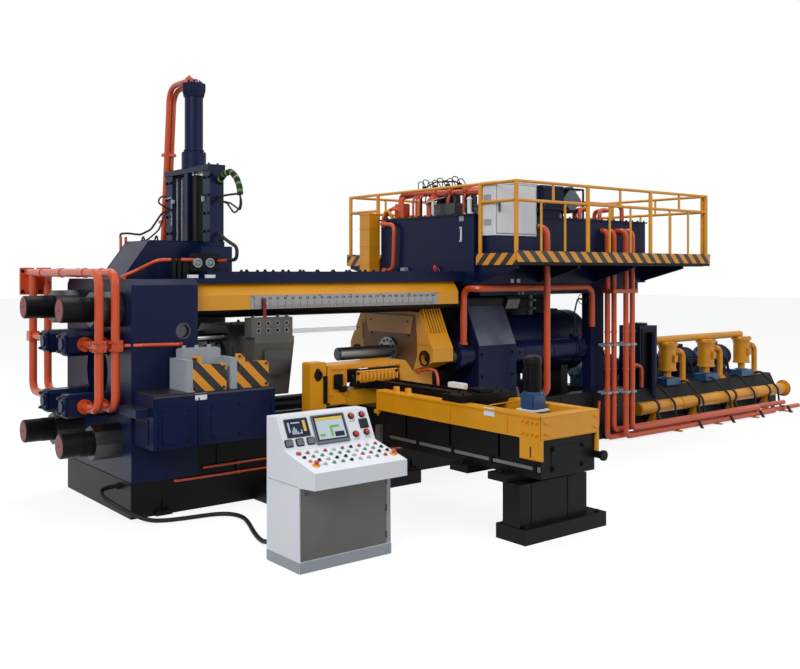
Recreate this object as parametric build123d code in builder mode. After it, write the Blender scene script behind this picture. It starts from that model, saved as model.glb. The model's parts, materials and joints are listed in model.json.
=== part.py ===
from build123d import *
import os
from math import pi, radians, sin, tan

# Aluminium extrusion press, front loading, with its loader, desk, oil tank and pumps.
# Millimetres. X runs along the press axis from the exit end to the pumps,
# Y = 0 is the press centre line with the working side at -Y, and Z = 0 is the floor.

# Press frame
axis_height = 1430
base_length = 7900
base_half_width = 920
base_slab_height = 360
base_rail_height = 730
base_rail_width = 150
plinth_start = 1400
plinth_length = 1960
plinth_reach = 530
plinth_height = 150
running_gap = 0.3

# Front platen and its exit bore
front_platen_length = 730
platen_half_width = 930
platen_top = 2420
platen_chamfer = 60
exit_bore_radius = 300
side_port_radius = 70
side_port_x = 560
side_port_z = 1880

# Tie rods and nuts
tie_rod_radius = 125
tie_rod_half_gap = 580
tie_rod_low = 755
tie_rod_high = 2110
tie_rod_stub = 600
nut_radius = 180
nut_length = 290
rear_nut_length = 240

# Container and the four cylinders that shift it
shift_cylinder_half_gap = 290
shift_cylinder_radius = 120
shift_cylinder_length = 450
shift_cylinder_rise = 320
shift_rod_radius = 45
container_front = 1330
container_length = 660
container_half_width = 500
container_half_height = 450
container_bore_radius = 110
container_liner_radius = 200
container_liner_lip = 30

# Die slide
die_front = 740
die_length = 320
die_slide_bottom = 1290
die_slide_top = 1560
die_aperture_radius = 55
die_slide_back = 300
bed_left = 24
bed_right = 1388
bed_front = 1400
bed_bottom = 760
cassette_width = 375
cassette_gap = 120
cassette_left = 469
cassette_low_top = 1560
cassette_high_top = 1650
cassette_thickness = 40
cassette_front = 1350

# Butt shear tower
shear_x = 1140
shear_blade_thickness = 120
shear_blade_width = 360
shear_blade_bottom = 2040
shear_blade_top = 3600
shear_rod_radius = 50
tower_base_half_width = 318
tower_base_top = 2840
tower_foot_front = 152
tower_slope_top = 455
tower_base_end = 1330
column_size = 170
column_half_gap = 480
column_bottom = 2780
column_top = 3630
shear_collar_radius = 140
shear_collar_height = 170
shear_tube_radius = 105
shear_tube_top = 4580
shear_cap_radius = 140
shear_cap_height = 90

# Top beam, guard and ruler
top_beam_bottom = 2370
top_beam_top = 2500
top_beam_half_width = 820
top_beam_start = 900
guard_start = 750
guard_end = 4490
guard_face = 850
guard_low = 2080
guard_bend = 2240
guard_high = 2370
guard_bevel = 90
guard_sheet = 8
ruler_start = 1400
ruler_end = 4130
ruler_sheet = 4

# Rear platen and cylinders
rear_platen_start = 4790
rear_platen_length = 710
rear_platen_shoulder = 1510
rear_platen_slope_in = 250
rear_platen_slope_top = 2030
main_cylinder_radius = 470
main_cylinder_length = 2050
saddle_x = 7100
saddle_thickness = 150
saddle_half_width = 300
saddle_top = 1100
main_flange_radius = 530
main_flange_length = 160
ram_radius = 330
side_cylinder_offset = 740
side_cylinder_height = 1380
side_cylinder_radius = 150
side_cylinder_reach = 290
side_cylinder_end = 7000
side_collar_radius = 170
side_rod_radius = 60

# Moving crosshead
crosshead_front = 4010
crosshead_length = 345
crosshead_half_width = 480
crosshead_bottom = 980
crosshead_top = 1970
crosshead_top_half_width = 635
wing_reach = 900
wing_low = 1340
wing_high = 1510
wing_root = 1200
rod_pocket_radius = 85
rod_pocket_depth = 120
stem_radius = 85
stem_length = 850
stem_boss_radius = 190
stem_boss_length = 40

# Ways that the container and crosshead slide on
way_inner = 180
way_outer = 420
way_height = 200

# Oil tank
tank_start = 4630
tank_end = 8240
tank_half_width = 1000
tank_bottom = 2330
tank_top = 3240
tank_wall = 12
lid_thickness = 20
lid_overhang = 25
tank_column_x = 7030
tank_column_length = 290
tank_column_inner = 770
tank_column_width = 170
tank_beam_depth = 150

# Platform round the tank
deck_start = 4650
deck_end = 8820
deck_near = 1750
deck_far = 1890
deck_top = 2620
deck_thickness = 40
bracket_count = 4
toe_height = 140
toe_sheet = 8
rail_top = 3640
rail_mid = 3150
rail_radius = 21
post_radius = 28
post_gap = 4
post_bays = 3
baluster_radius = 14

# Cabinet, cooler and valves on the tank
cabinet_x = 4720
cabinet_width = 780
cabinet_near = 1300
cabinet_bottom = 2970
cabinet_height = 690
cooler_x = 6020
cooler_width = 460
cooler_depth = 900
cooler_top = 3720
cooler_foot = 120
cooler_far = 50
cooler_foot_width = 60
fan_radius = 170
fan_length = 160
fan_motor_radius = 90
fan_motor_length = 320
valve_count = 3
valve_first = 180
valve_pitch = 330
valve_length = 220
valve_near = 420
valve_far = 120
valve_height = 180
solenoid_radius = 45
solenoid_height = 150
solenoid_pitch = 170
duct_depth = 190
duct_near = 1060
duct_far = 1300
duct_bottom = 2300
duct_top = 3350

# Pump station
skid_gap = 300
skid_length = 4500
skid_start = base_length + skid_gap
skid_end = skid_start + skid_length
skid_near = 620
skid_far = 1500
skid_height = 360
skid_top_height = 600
pump_count = 4
pump_pitch = 1120
pump_first = skid_start + 300
motor_box_start = skid_start + 600
motor_box_length = 450
motor_box_near = 480
motor_box_far = 60
motor_box_top = 1610
motor_radius = 215
motor_length = 620
motor_axis_height = 860
motor_y = 420
motor_cover_length = 110
motor_foot_half = 190
pump_length = 300
pump_radius = 130
filter_block_half_length = 190
filter_block_half_width = 130
filter_block_height = 110
filter_radius = 140
filter_bottom = 830
filter_top = 1250
filter_y = -420
filter_neck_radius = 60
filter_flange_radius = 175
filter_lid = 40
filter_elbow_reach = 430
filter_elbow_drop = 110
filter_elbow_radius = 50
filter_elbow_flange = 95
flange_thickness = 25
header_radius = 60
suction_radius = 100
suction_y = -760
suction_z = 330
suction_start = skid_start + 150
suction_end = skid_end
pipe_strip = 20
suction_foot_count = 4
suction_foot_first = 400
suction_foot_pitch = 1100
suction_foot_width = 60

# Billet loader
loader_x = 2500
loader_width = 800
loader_near_end = 4170
loader_far_end = 1700
loader_beam_bottom = 970
loader_beam_top = 1190
loader_beam_width = 130
loader_leg_bottom = 780
loader_leg_length = 270
loader_leg_plate = 30
loader_bed_bottom = 610
loader_pad_thickness = 70
loader_pad_places = (3150, 3690)
loader_drive_y = 3590
loader_drive_radius = 85
loader_drive_top = 1300
pier_web_near = 3950
pier_web_thickness = 220
pier_foot_height = 140
pier_foot_half_length = 190
arm_half_width = 130
arm_start = 3100
carriage_length = 300
carriage_inset = 10
carriage_height = 70
arm_end = 1010
arm_bottom = 1150
arm_top = 1220
cradle_half_length = 210
cradle_rise = 125
cradle_valley = 85
cradle_half_width = 150
head_near = 1250
head_far = 950
tower_left = 1925
tower_right = 2140
tower_top = 1485
tower_depth = 165
tower_slot_length = 150
tower_slot_width = 70
head_left = 2160
head_right = 3530
head_bottom = 970
head_top = 1455
window_left = 2425
window_right = 3195
window_top = 1385
window_corner = 70

# Operator desk
desk_x = 407
desk_width = 953
desk_back = 2900
desk_top = 1250
desk_toe = 100
desk_shelf = 160
desk_depth = 760
desk_knee = 530

# Pipes
main_pipe_radius = 45
exit_pipe_near = 820
exit_pipe_far = 1250
exit_runs = ((-290, 1470), (-120, 1380))
valve_block_half = 57
port_flange_radius = 75
port_flange_thickness = 50
header_plate_half = 80
header_plate_thickness = 35
riser_radius = 40
riser_y = -1110
riser_row_gap = 100
riser_first = 7200
riser_pitch = 150
riser_count = 4
riser_top = 3100
riser_bend = 90
riser_clamp_bottom = 2180
riser_clamp_height = 60
riser_end_step = 500
drop_x = 5700
drop_y = -1300
drop_top = 3100
drop_foot = 820
feed_x = 4655
feed_flange_radius = 60
feed_y = -775
feed_run_y = -1070
feed_run_height = 2275
feed_run_end = 6900
feed_drop_end = 1700
elbow_radius = 130
pipe_hole_gap = 12

# Cord from the base to the desk
cord_radius = 22
cord_sides = 10
cord_route = (
    (-40, -620, 290),
    (-190, -620, 290),
    (-270, -820, 262),
    (-190, -1010, 190),
    (-60, -1110, 100),
    (80, -1180, 34),
    (210, -1235, 24),
    (360, -1275, 24),
    (560, -1300, 24),
    (750, -1330, 24),
    (870, -1430, 24),
    (895, -1610, 24),
    (830, -1830, 24),
    (735, -2070, 24),
    (650, -2310, 24),
    (596, -2520, 30),
    (590, -2680, 80),
    (590, -2870, 80),
)
gland_radius = 34
gland_length = 40


def block(x, y, z, mode=Mode.ADD):
    """A box that spans three ranges, each a pair of low and high."""
    centre = ((x[0] + x[1]) / 2, (y[0] + y[1]) / 2, (z[0] + z[1]) / 2)
    with Locations(centre):
        Box(x[1] - x[0], y[1] - y[0], z[1] - z[0], mode=mode)


def bar(start, end, radius, sides=0, mode=Mode.ADD):
    """A round bar between two points, or a prism with that many sides."""
    way = Vector(*end) - Vector(*start)
    with BuildSketch(Plane(origin=start, z_dir=way)) as section:
        if sides:
            RegularPolygon(radius, sides)
        else:
            Circle(radius)
    extrude(section.sketch, amount=way.length, mode=mode)


def tube(start, end, radius, bore):
    """A round bar with a hole from end to end."""
    way = Vector(*end) - Vector(*start)
    with BuildSketch(Plane(origin=start, z_dir=way)) as ring:
        Circle(radius)
        Circle(bore, mode=Mode.SUBTRACT)
    extrude(ring.sketch, amount=way.length)


def pipe(points, radius, bend, sides=12):
    """A bent pipe through the points, with round elbows and a many-sided section."""
    with BuildLine() as route:
        FilletPolyline(*points, radius=bend)
    with BuildSketch(Plane(origin=route.line @ 0, z_dir=route.line % 0)) as section:
        RegularPolygon(radius, sides)
    sweep(section.sketch, path=route.line)


def plate_along_x(outline, x):
    """A plate or prism whose outline lies across the press, in Y and Z."""
    with BuildSketch(Plane.YZ.offset(x[0])) as section:
        with BuildLine():
            Polyline(*outline, close=True)
        make_face()
    extrude(section.sketch, amount=x[1] - x[0])


def plate_along_y(outline, y):
    """A plate or prism whose outline lies along the press, in X and Z."""
    with BuildSketch(Plane.XZ.offset(-y[1])) as section:
        with BuildLine():
            Polyline(*outline, close=True)
        make_face()
    extrude(section.sketch, amount=y[1] - y[0])


def save(part, name):
    part.label = name
    export_step(part, f"parts/{name}.step")


os.makedirs("parts", exist_ok=True)

rear_platen_end = rear_platen_start + rear_platen_length
rail_inner = base_half_width - base_rail_width
tie_rod_places = [
    (side * tie_rod_half_gap, height)
    for side in (-1, 1)
    for height in (tie_rod_low, tie_rod_high)
]
shift_places = [
    (side * shift_cylinder_half_gap, axis_height + rise)
    for side in (-1, 1)
    for rise in (-shift_cylinder_rise, shift_cylinder_rise)
]

# Base: a long slab with side rails and a low plinth on the working side
with BuildPart() as base:
    block((0, base_length), (-base_half_width, base_half_width), (0, base_slab_height))
    block(
        (plinth_start, plinth_start + plinth_length),
        (-base_half_width - plinth_reach, -base_half_width),
        (0, plinth_height),
    )
    spans = (
        (front_platen_length, rear_platen_start),
        (rear_platen_end, base_length),
    )
    for span in spans:
        for side in (-1, 1):
            near, far = sorted((side * rail_inner, side * base_half_width))
            block(span, (near, far), (base_slab_height, base_rail_height))
    block((saddle_x, saddle_x + saddle_thickness), (-saddle_half_width, saddle_half_width),
          (base_slab_height, saddle_top))
    bar((saddle_x, 0, axis_height), (saddle_x + saddle_thickness, 0, axis_height),
        main_cylinder_radius + running_gap, mode=Mode.SUBTRACT)
save(base.part, "base")

# Two flat ways inside the base
with BuildPart() as guide_ways:
    for side in (-1, 1):
        near, far = sorted((side * way_inner, side * way_outer))
        block(
            (front_platen_length + 5, rear_platen_start),
            (near, far),
            (base_slab_height, base_slab_height + way_height),
        )
save(guide_ways.part, "guide_ways")

# Front platen: exit bore, tie rod holes, shift cylinder holes and two side ports
with BuildPart() as front_platen:
    block(
        (0, front_platen_length),
        (-platen_half_width, platen_half_width),
        (base_slab_height, platen_top),
    )
    top_edges = front_platen.edges().filter_by(Axis.X).group_by(Axis.Z)[-1]
    chamfer(top_edges, platen_chamfer)
    bar((0, 0, axis_height), (front_platen_length, 0, axis_height), exit_bore_radius,
        mode=Mode.SUBTRACT)
    for y, z in tie_rod_places:
        bar((0, y, z), (front_platen_length, y, z), tie_rod_radius + running_gap,
            mode=Mode.SUBTRACT)
    for y, z in shift_places:
        bar((0, y, z), (front_platen_length, y, z), shift_rod_radius + 5,
            mode=Mode.SUBTRACT)
    for side in (-1, 1):
        bar(
            (side_port_x, side * platen_half_width, side_port_z),
            (side_port_x, side * (platen_half_width - 120), side_port_z),
            side_port_radius,
            mode=Mode.SUBTRACT,
        )
save(front_platen.part, "front_platen")

# Four tie rods that join the platens
tie_rod_end = rear_platen_end + rear_nut_length + 60
with BuildPart() as tie_rods:
    for y, z in tie_rod_places:
        bar((-tie_rod_stub, y, z), (tie_rod_end, y, z), tie_rod_radius)
    chamfer(tie_rods.edges().filter_by(GeomType.CIRCLE), 6)
save(tie_rods.part, "tie_rods")

# Eight octagonal nuts, one against the outer face of a platen on every tie rod
with BuildPart() as tie_rod_nuts:
    for y, z in tie_rod_places:
        bar((-nut_length, y, z), (0, y, z), nut_radius, sides=8)
        bar((rear_platen_end, y, z), (rear_platen_end + rear_nut_length, y, z),
            nut_radius, sides=8)
        bar((-nut_length, y, z), (rear_platen_end + rear_nut_length, y, z),
            tie_rod_radius + running_gap, mode=Mode.SUBTRACT)
save(tie_rod_nuts.part, "tie_rod_nuts")

# Four cylinders on the exit face that shift the container
with BuildPart() as shift_cylinders:
    for y, z in shift_places:
        half = shift_cylinder_radius
        block((-shift_cylinder_length, 0), (y - half, y + half), (z - half, z + half))
    long_edges = shift_cylinders.edges().filter_by(Axis.X)
    chamfer(long_edges, 40)
    for y, z in shift_places:
        bar((-shift_cylinder_length + 60, y, z), (0, y, z), shift_rod_radius + 5,
            mode=Mode.SUBTRACT)
save(shift_cylinders.part, "shift_cylinders")

way_top = base_slab_height + way_height

# Container: octagonal housing with its liner, shoes, side wings and bore
container_back = container_front + container_length
wing_top = axis_height + 340
with BuildPart() as container_housing:
    corner = 180
    outline = [
        (-container_half_width, axis_height - container_half_height + corner),
        (-container_half_width + corner, axis_height - container_half_height),
        (container_half_width - corner, axis_height - container_half_height),
        (container_half_width, axis_height - container_half_height + corner),
        (container_half_width, axis_height + container_half_height - corner),
        (container_half_width - corner, axis_height + container_half_height),
        (-container_half_width + corner, axis_height + container_half_height),
        (-container_half_width, axis_height + container_half_height - corner),
    ]
    plate_along_x(outline, (container_front + 60, container_back))
    bar((container_front, 0, axis_height), (container_back, 0, axis_height),
        container_liner_radius + running_gap, mode=Mode.SUBTRACT)
    for side in (-1, 1):
        near, far = sorted((side * (way_inner - 40), side * (container_half_width - 190)))
        block(
            (container_front + 100, container_back - 60),
            (near, far),
            (way_top + running_gap, axis_height - container_half_height),
        )
save(container_housing.part, "container_housing")

with BuildPart() as container_liner:
    tube(
        (container_front, 0, axis_height),
        (container_back + container_liner_lip, 0, axis_height),
        container_liner_radius,
        container_bore_radius,
    )
save(container_liner.part, "container_liner")

# Side wings of the container, with a block of tapped holes on each
wing_outer = 880
with BuildPart() as container_wings:
    for side in (-1, 1):
        wing = [
            (side * (container_half_width + running_gap), 1290),
            (side * 640, 1100),
            (side * 760, 1100),
            (side * wing_outer, 1700),
            (side * wing_outer, wing_top),
            (side * (container_half_width + running_gap), wing_top),
        ]
        plate_along_x(wing, (container_front + 110, container_back - 40))
        near, far = sorted((side * 725, side * wing_outer))
        block((container_front + 70, container_back - 60), (near, far), (wing_top, wing_top + 215))
    for side in (-1, 1):
        for column in range(4):
            for row in range(2):
                x = container_front + 160 + column * 120
                z = wing_top + 70 + row * 80
                bar((x, side * wing_outer, z), (x, side * (wing_outer - 60), z), 20,
                    mode=Mode.SUBTRACT)
save(container_wings.part, "container_wings")

# Rods from the shift cylinders to the container
with BuildPart() as shift_rods:
    for y, z in shift_places:
        bar((-60, y, z), (container_front + 60, y, z), shift_rod_radius)
save(shift_rods.part, "shift_rods")

# Pointer in front of the ruler
pointer_x = 1570
pointer_y = -(guard_face + ruler_sheet + 16)
with BuildPart() as pointer:
    block((pointer_x - 20, pointer_x + 20), (pointer_y - 8, pointer_y), (wing_top + 215, 2200))
save(pointer.part, "pointer")

cheek_back = -platen_half_width - 30

# Die slide: carrier with the die bore, cheeks and two stepped guard plates
with BuildPart() as die_slide:
    block(
        (die_front, die_front + die_length),
        (cheek_back, die_slide_back),
        (die_slide_bottom + running_gap, die_slide_top),
    )
    bar((die_front, 0, axis_height), (die_front + die_length, 0, axis_height),
        die_aperture_radius, mode=Mode.SUBTRACT)
save(die_slide.part, "die_slide")

with BuildPart() as die_slide_plates:
    for number in range(2):
        left = cassette_left + number * (cassette_width + cassette_gap)
        step = left + 95
        right = left + cassette_width
        outline = [
            (left, die_slide_bottom + running_gap),
            (right, die_slide_bottom + running_gap),
            (right, cassette_low_top),
            (step, cassette_low_top),
            (step, cassette_high_top),
            (left, cassette_high_top),
        ]
        plate_along_y(outline, (-cassette_front, -cassette_front + cassette_thickness))
save(die_slide_plates.part, "die_slide_plates")

# Light cheeks that tie the two guard plates together
with BuildPart() as die_slide_cheeks:
    for number in range(2):
        left = cassette_left + number * (cassette_width + cassette_gap)
        block(
            (left - 70, left - running_gap),
            (-cassette_front, cheek_back),
            (die_slide_bottom + running_gap, cassette_high_top - 40),
        )
    block(
        (cassette_left - running_gap, cassette_left + cassette_width + cassette_gap - 70),
        (cheek_back - 160, cheek_back),
        (die_slide_bottom + running_gap, cassette_high_top + 50),
    )
save(die_slide_cheeks.part, "die_slide_cheeks")

# Bed that the die slide runs out on, with a lower shelf on its left
with BuildPart() as die_slide_bed:
    block((bed_left, bed_right), (-bed_front, -platen_half_width), (bed_bottom, die_slide_bottom))
    block((bed_left - 150, bed_left), (-bed_front + 60, -platen_half_width),
          (bed_bottom + 320, bed_bottom + 400))
    block(
        (front_platen_length, die_front + die_length),
        (-platen_half_width, 620),
        (die_slide_bottom - 120, die_slide_bottom),
    )
save(die_slide_bed.part, "die_slide_bed")

# Shear tower base: a wedge on the platen and a block over the top beam
slot_half_length = shear_blade_thickness / 2 + 6
slot_half_width = shear_blade_width / 2 + 6
with BuildPart() as shear_base:
    outline = [
        (tower_foot_front, platen_top),
        (tower_slope_top, tower_base_top),
        (tower_base_end, tower_base_top),
        (tower_base_end, top_beam_top),
        (top_beam_start - 5, top_beam_top),
        (top_beam_start - 5, platen_top),
    ]
    plate_along_y(outline, (-tower_base_half_width, tower_base_half_width))
    block(
        (shear_x - 190, tower_base_end),
        (-column_half_gap - column_size / 2, column_half_gap + column_size / 2),
        (top_beam_top, column_bottom),
    )
    guide_half_length = shear_blade_thickness / 2 + running_gap
    block(
        (shear_x - guide_half_length, shear_x + guide_half_length),
        (-slot_half_width, slot_half_width),
        (platen_top, tower_base_top),
        mode=Mode.SUBTRACT,
    )
save(shear_base.part, "shear_base")

# Two columns and the crosshead plate that carries the shear cylinder
with BuildPart() as shear_columns:
    for side in (-1, 1):
        middle = side * column_half_gap
        block(
            (shear_x - column_size / 2, shear_x + column_size / 2),
            (middle - column_size / 2, middle + column_size / 2),
            (column_bottom, column_top),
        )
    block(
        (shear_x - column_size / 2 - 20, shear_x + column_size / 2 + 20),
        (-column_half_gap - column_size / 2, column_half_gap + column_size / 2),
        (column_top, column_top + 60),
    )
    bar((shear_x, 0, column_top), (shear_x, 0, column_top + 60), shear_rod_radius + 5,
        mode=Mode.SUBTRACT)
save(shear_columns.part, "shear_columns")

# Shear cylinder: collar, long tube and octagonal cap
collar_bottom = column_top + 60
with BuildPart() as shear_cylinder:
    bar((shear_x, 0, collar_bottom), (shear_x, 0, collar_bottom + shear_collar_height),
        shear_collar_radius)
    bar((shear_x, 0, collar_bottom + shear_collar_height), (shear_x, 0, shear_tube_top),
        shear_tube_radius)
    bar((shear_x, 0, shear_tube_top), (shear_x, 0, shear_tube_top + shear_cap_height),
        shear_cap_radius, sides=8)
    bar((shear_x, 0, collar_bottom), (shear_x, 0, shear_tube_top), shear_rod_radius + 5,
        mode=Mode.SUBTRACT)
save(shear_cylinder.part, "shear_cylinder")

# Moving shear: blade holder, its rod and the blade
with BuildPart() as shear_holder:
    block(
        (shear_x - shear_blade_thickness / 2, shear_x + shear_blade_thickness / 2),
        (-shear_blade_width / 2, shear_blade_width / 2),
        (shear_blade_bottom + 90, shear_blade_top),
    )
save(shear_holder.part, "shear_holder")

with BuildPart() as shear_blade:
    half = shear_blade_thickness / 2
    outline = [
        (shear_x - half, shear_blade_bottom + 90),
        (shear_x - half, shear_blade_bottom),
        (shear_x - half + 40, shear_blade_bottom),
        (shear_x + half, shear_blade_bottom + 60),
        (shear_x + half, shear_blade_bottom + 90),
    ]
    plate_along_y(outline, (-shear_blade_width / 2 + 40, shear_blade_width / 2 - 40))
save(shear_blade.part, "shear_blade")

with BuildPart() as shear_rod:
    bar((shear_x, 0, shear_blade_top), (shear_x, 0, shear_tube_top - 60), shear_rod_radius)
save(shear_rod.part, "shear_rod")

# Top beam between the shear tower and the rear platen, slotted for the shear
with BuildPart() as top_beam:
    block(
        (front_platen_length, tank_start),
        (-top_beam_half_width, top_beam_half_width),
        (top_beam_bottom, platen_top),
    )
    block(
        (top_beam_start, tank_start),
        (-top_beam_half_width, top_beam_half_width),
        (platen_top, top_beam_top),
    )
    block(
        (shear_x - slot_half_length, shear_x + slot_half_length),
        (-slot_half_width, slot_half_width),
        (top_beam_bottom, top_beam_top),
        mode=Mode.SUBTRACT,
    )
save(top_beam.part, "top_beam")

# Bent guard sheets over the upper tie rods, one on each side
with BuildPart() as rod_guards:
    for side in (-1, 1):
        outer = side * guard_face
        inner = side * (guard_face - guard_sheet)
        top_outer = side * (guard_face - guard_bevel)
        top_inner = side * (guard_face - guard_bevel - guard_sheet)
        section = [
            (outer, guard_low),
            (outer, guard_bend),
            (top_outer, guard_high),
            (side * (top_beam_half_width - 200), guard_high),
            (side * (top_beam_half_width - 200), guard_high - guard_sheet),
            (top_inner, guard_high - guard_sheet),
            (inner, guard_bend - guard_sheet / 2),
            (inner, guard_low),
        ]
        plate_along_x(section, (guard_start, guard_end))
save(rod_guards.part, "rod_guards")

# Ruler on the near guard
with BuildPart() as ruler:
    block(
        (ruler_start, ruler_end),
        (-guard_face - ruler_sheet, -guard_face),
        (guard_low + 4, guard_bend - 4),
    )
save(ruler.part, "ruler")

# Rear platen: sloped shoulders, bores for the main ram, side cylinders and tie rods
with BuildPart() as rear_platen:
    inset = base_half_width - rear_platen_slope_in
    outline = [
        (-base_half_width, base_slab_height),
        (base_half_width, base_slab_height),
        (base_half_width, rear_platen_shoulder),
        (inset, rear_platen_slope_top),
        (inset, tank_bottom - tank_beam_depth),
        (-inset, tank_bottom - tank_beam_depth),
        (-inset, rear_platen_slope_top),
        (-base_half_width, rear_platen_shoulder),
    ]
    plate_along_x(outline, (rear_platen_start, rear_platen_end))
    for y, z in tie_rod_places:
        bar((rear_platen_start, y, z), (rear_platen_end, y, z), tie_rod_radius + running_gap,
            mode=Mode.SUBTRACT)
    for side in (-1, 1):
        y = side * side_cylinder_offset
        bar((rear_platen_start, y, side_cylinder_height), (rear_platen_end, y, side_cylinder_height),
            side_cylinder_radius + running_gap, mode=Mode.SUBTRACT)
    bar((rear_platen_start, 0, axis_height), (rear_platen_end, 0, axis_height),
        ram_radius + 5, mode=Mode.SUBTRACT)
save(rear_platen.part, "rear_platen")

# Main cylinder behind the rear platen
main_cylinder_end = rear_platen_end + main_cylinder_length
with BuildPart() as main_cylinder:
    bar((rear_platen_end, 0, axis_height), (rear_platen_end + main_flange_length, 0, axis_height),
        main_flange_radius)
    bar((rear_platen_end, 0, axis_height), (main_cylinder_end, 0, axis_height),
        main_cylinder_radius)
    bar((main_cylinder_end, 0, axis_height), (main_cylinder_end + 110, 0, axis_height),
        main_cylinder_radius - 120, sides=12)
    bar((rear_platen_end, 0, axis_height), (main_cylinder_end - 100, 0, axis_height),
        ram_radius + 5, mode=Mode.SUBTRACT)
    for y, z in tie_rod_places:
        bar((rear_platen_end, y, z), (main_cylinder_end, y, z), nut_radius + 15,
            mode=Mode.SUBTRACT)
save(main_cylinder.part, "main_cylinder")

# Two side cylinders that pull the crosshead back
side_cylinder_start = rear_platen_start - side_cylinder_reach
with BuildPart() as side_cylinders:
    for side in (-1, 1):
        y = side * side_cylinder_offset
        z = side_cylinder_height
        bar((side_cylinder_start, y, z), (side_cylinder_end, y, z), side_cylinder_radius)
        bar((side_cylinder_start, y, z), (side_cylinder_start + 90, y, z), side_collar_radius)
        bar((rear_platen_end, y, z), (rear_platen_end + 70, y, z), side_collar_radius)
        bar((side_cylinder_end - 160, y, z), (side_cylinder_end, y, z), side_collar_radius, sides=8)
        bar((side_cylinder_start, y, z), (side_cylinder_end - 80, y, z), side_rod_radius + 5,
            mode=Mode.SUBTRACT)
save(side_cylinders.part, "side_cylinders")

# Moving crosshead with its two wings
crosshead_back = crosshead_front + crosshead_length
with BuildPart() as crosshead:
    right_half = [
        (crosshead_half_width, crosshead_bottom),
        (crosshead_half_width, wing_root),
        (wing_reach, wing_low),
        (wing_reach, wing_high),
        (crosshead_top_half_width, crosshead_top),
    ]
    left_half = [(-y, z) for y, z in reversed(right_half)]
    plate_along_x(right_half + left_half, (crosshead_front, crosshead_back))
    for side in (-1, 1):
        y = side * side_cylinder_offset
        z = side_cylinder_height
        bar((crosshead_front, y, z), (crosshead_front + rod_pocket_depth, y, z),
            rod_pocket_radius, mode=Mode.SUBTRACT)
        near, far = sorted((side * way_inner, side * way_outer))
        block((crosshead_front, crosshead_back), (near, far), (way_top + running_gap, crosshead_bottom))
save(crosshead.part, "crosshead")

# Stem with its boss
with BuildPart() as ram_stem:
    bar((crosshead_front - stem_length, 0, axis_height), (crosshead_front, 0, axis_height),
        stem_radius)
    bar((crosshead_front - stem_boss_length, 0, axis_height), (crosshead_front, 0, axis_height),
        stem_boss_radius)
save(ram_stem.part, "ram_stem")

# Main ram and the rods of the side cylinders
with BuildPart() as rams:
    bar((crosshead_back, 0, axis_height), (main_cylinder_end - 130, 0, axis_height), ram_radius)
    for side in (-1, 1):
        y = side * side_cylinder_offset
        z = side_cylinder_height
        bar((crosshead_back, y, z), (side_cylinder_end - 140, y, z), side_rod_radius)
save(rams.part, "rams")

# Oil tank: shell with four walls and a floor
with BuildPart() as oil_tank:
    block((tank_start, tank_end), (-tank_half_width, tank_half_width), (tank_bottom, tank_top))
    block(
        (tank_start + tank_wall, tank_end - tank_wall),
        (-tank_half_width + tank_wall, tank_half_width - tank_wall),
        (tank_bottom + tank_wall, tank_top),
        mode=Mode.SUBTRACT,
    )
save(oil_tank.part, "oil_tank")

with BuildPart() as tank_lid:
    block(
        (tank_start - lid_overhang, tank_end + lid_overhang),
        (-tank_half_width - lid_overhang, tank_half_width + lid_overhang),
        (tank_top, tank_top + lid_thickness),
    )
save(tank_lid.part, "tank_lid")
tank_roof = tank_top + lid_thickness

cabinet_back = -tank_half_width - lid_overhang - 5

# Columns and beams under the tank, brackets under the deck, and the cabinet's plinth
with BuildPart() as tank_columns:
    for side in (-1, 1):
        near, far = sorted((side * tank_column_inner, side * (tank_column_inner + tank_column_width)))
        block((tank_column_x, tank_column_x + tank_column_length), (near, far),
              (base_rail_height, tank_bottom - tank_beam_depth))
save(tank_columns.part, "tank_columns")

with BuildPart() as tank_frame:
    for side in (-1, 1):
        near, far = sorted((side * tank_column_inner, side * (tank_column_inner + tank_column_width)))
        block((rear_platen_start, tank_end - 100), (near, far),
              (tank_bottom - tank_beam_depth, tank_bottom))
    for number in range(bracket_count):
        x = deck_start + 40 + number * (tank_end - deck_start - 120) / (bracket_count - 1)
        for side, reach in ((-1, deck_near), (1, deck_far)):
            outline = [
                (side * tank_half_width, deck_top - deck_thickness),
                (side * (reach - 30), deck_top - deck_thickness),
                (side * (reach - 30), deck_top - deck_thickness - 40),
                (side * tank_half_width, tank_bottom + 20),
            ]
            plate_along_x(outline, (x, x + 40))
    block((cabinet_x + 20, cabinet_x + cabinet_width - 20), (-cabinet_near + 20, cabinet_back),
          (deck_top, cabinet_bottom))
save(tank_frame.part, "tank_frame")

riser_places = [
    (riser_first + riser_pitch * number, riser_y - riser_row_gap * (number // 2))
    for number in range(riser_count)
]

# Deck of the platform, three strips round the tank, on brackets
with BuildPart() as deck:
    low = deck_top - deck_thickness
    block((deck_start, deck_end), (-deck_near, -tank_half_width), (low, deck_top))
    block((deck_start, deck_end), (tank_half_width, deck_far), (low, deck_top))
    block((tank_end, deck_end), (-tank_half_width, tank_half_width), (low, deck_top))
    places = [(drop_x, drop_y, main_pipe_radius)] + [(x, y, riser_radius) for x, y in riser_places]
    for x, y, radius in places:
        bar((x, y, low), (x, y, deck_top), radius + pipe_hole_gap, mode=Mode.SUBTRACT)
save(deck.part, "deck")

# Toe board round the outside of the deck
with BuildPart() as toe_board:
    with BuildSketch(Plane.XY.offset(deck_top)):
        with BuildLine():
            Polyline(
                (deck_start, -deck_near),
                (deck_end, -deck_near),
                (deck_end, deck_far),
                (deck_start, deck_far),
            )
            offset(amount=toe_sheet, side=Side.RIGHT)
        make_face()
    extrude(amount=toe_height)
save(toe_board.part, "toe_board")


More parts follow.
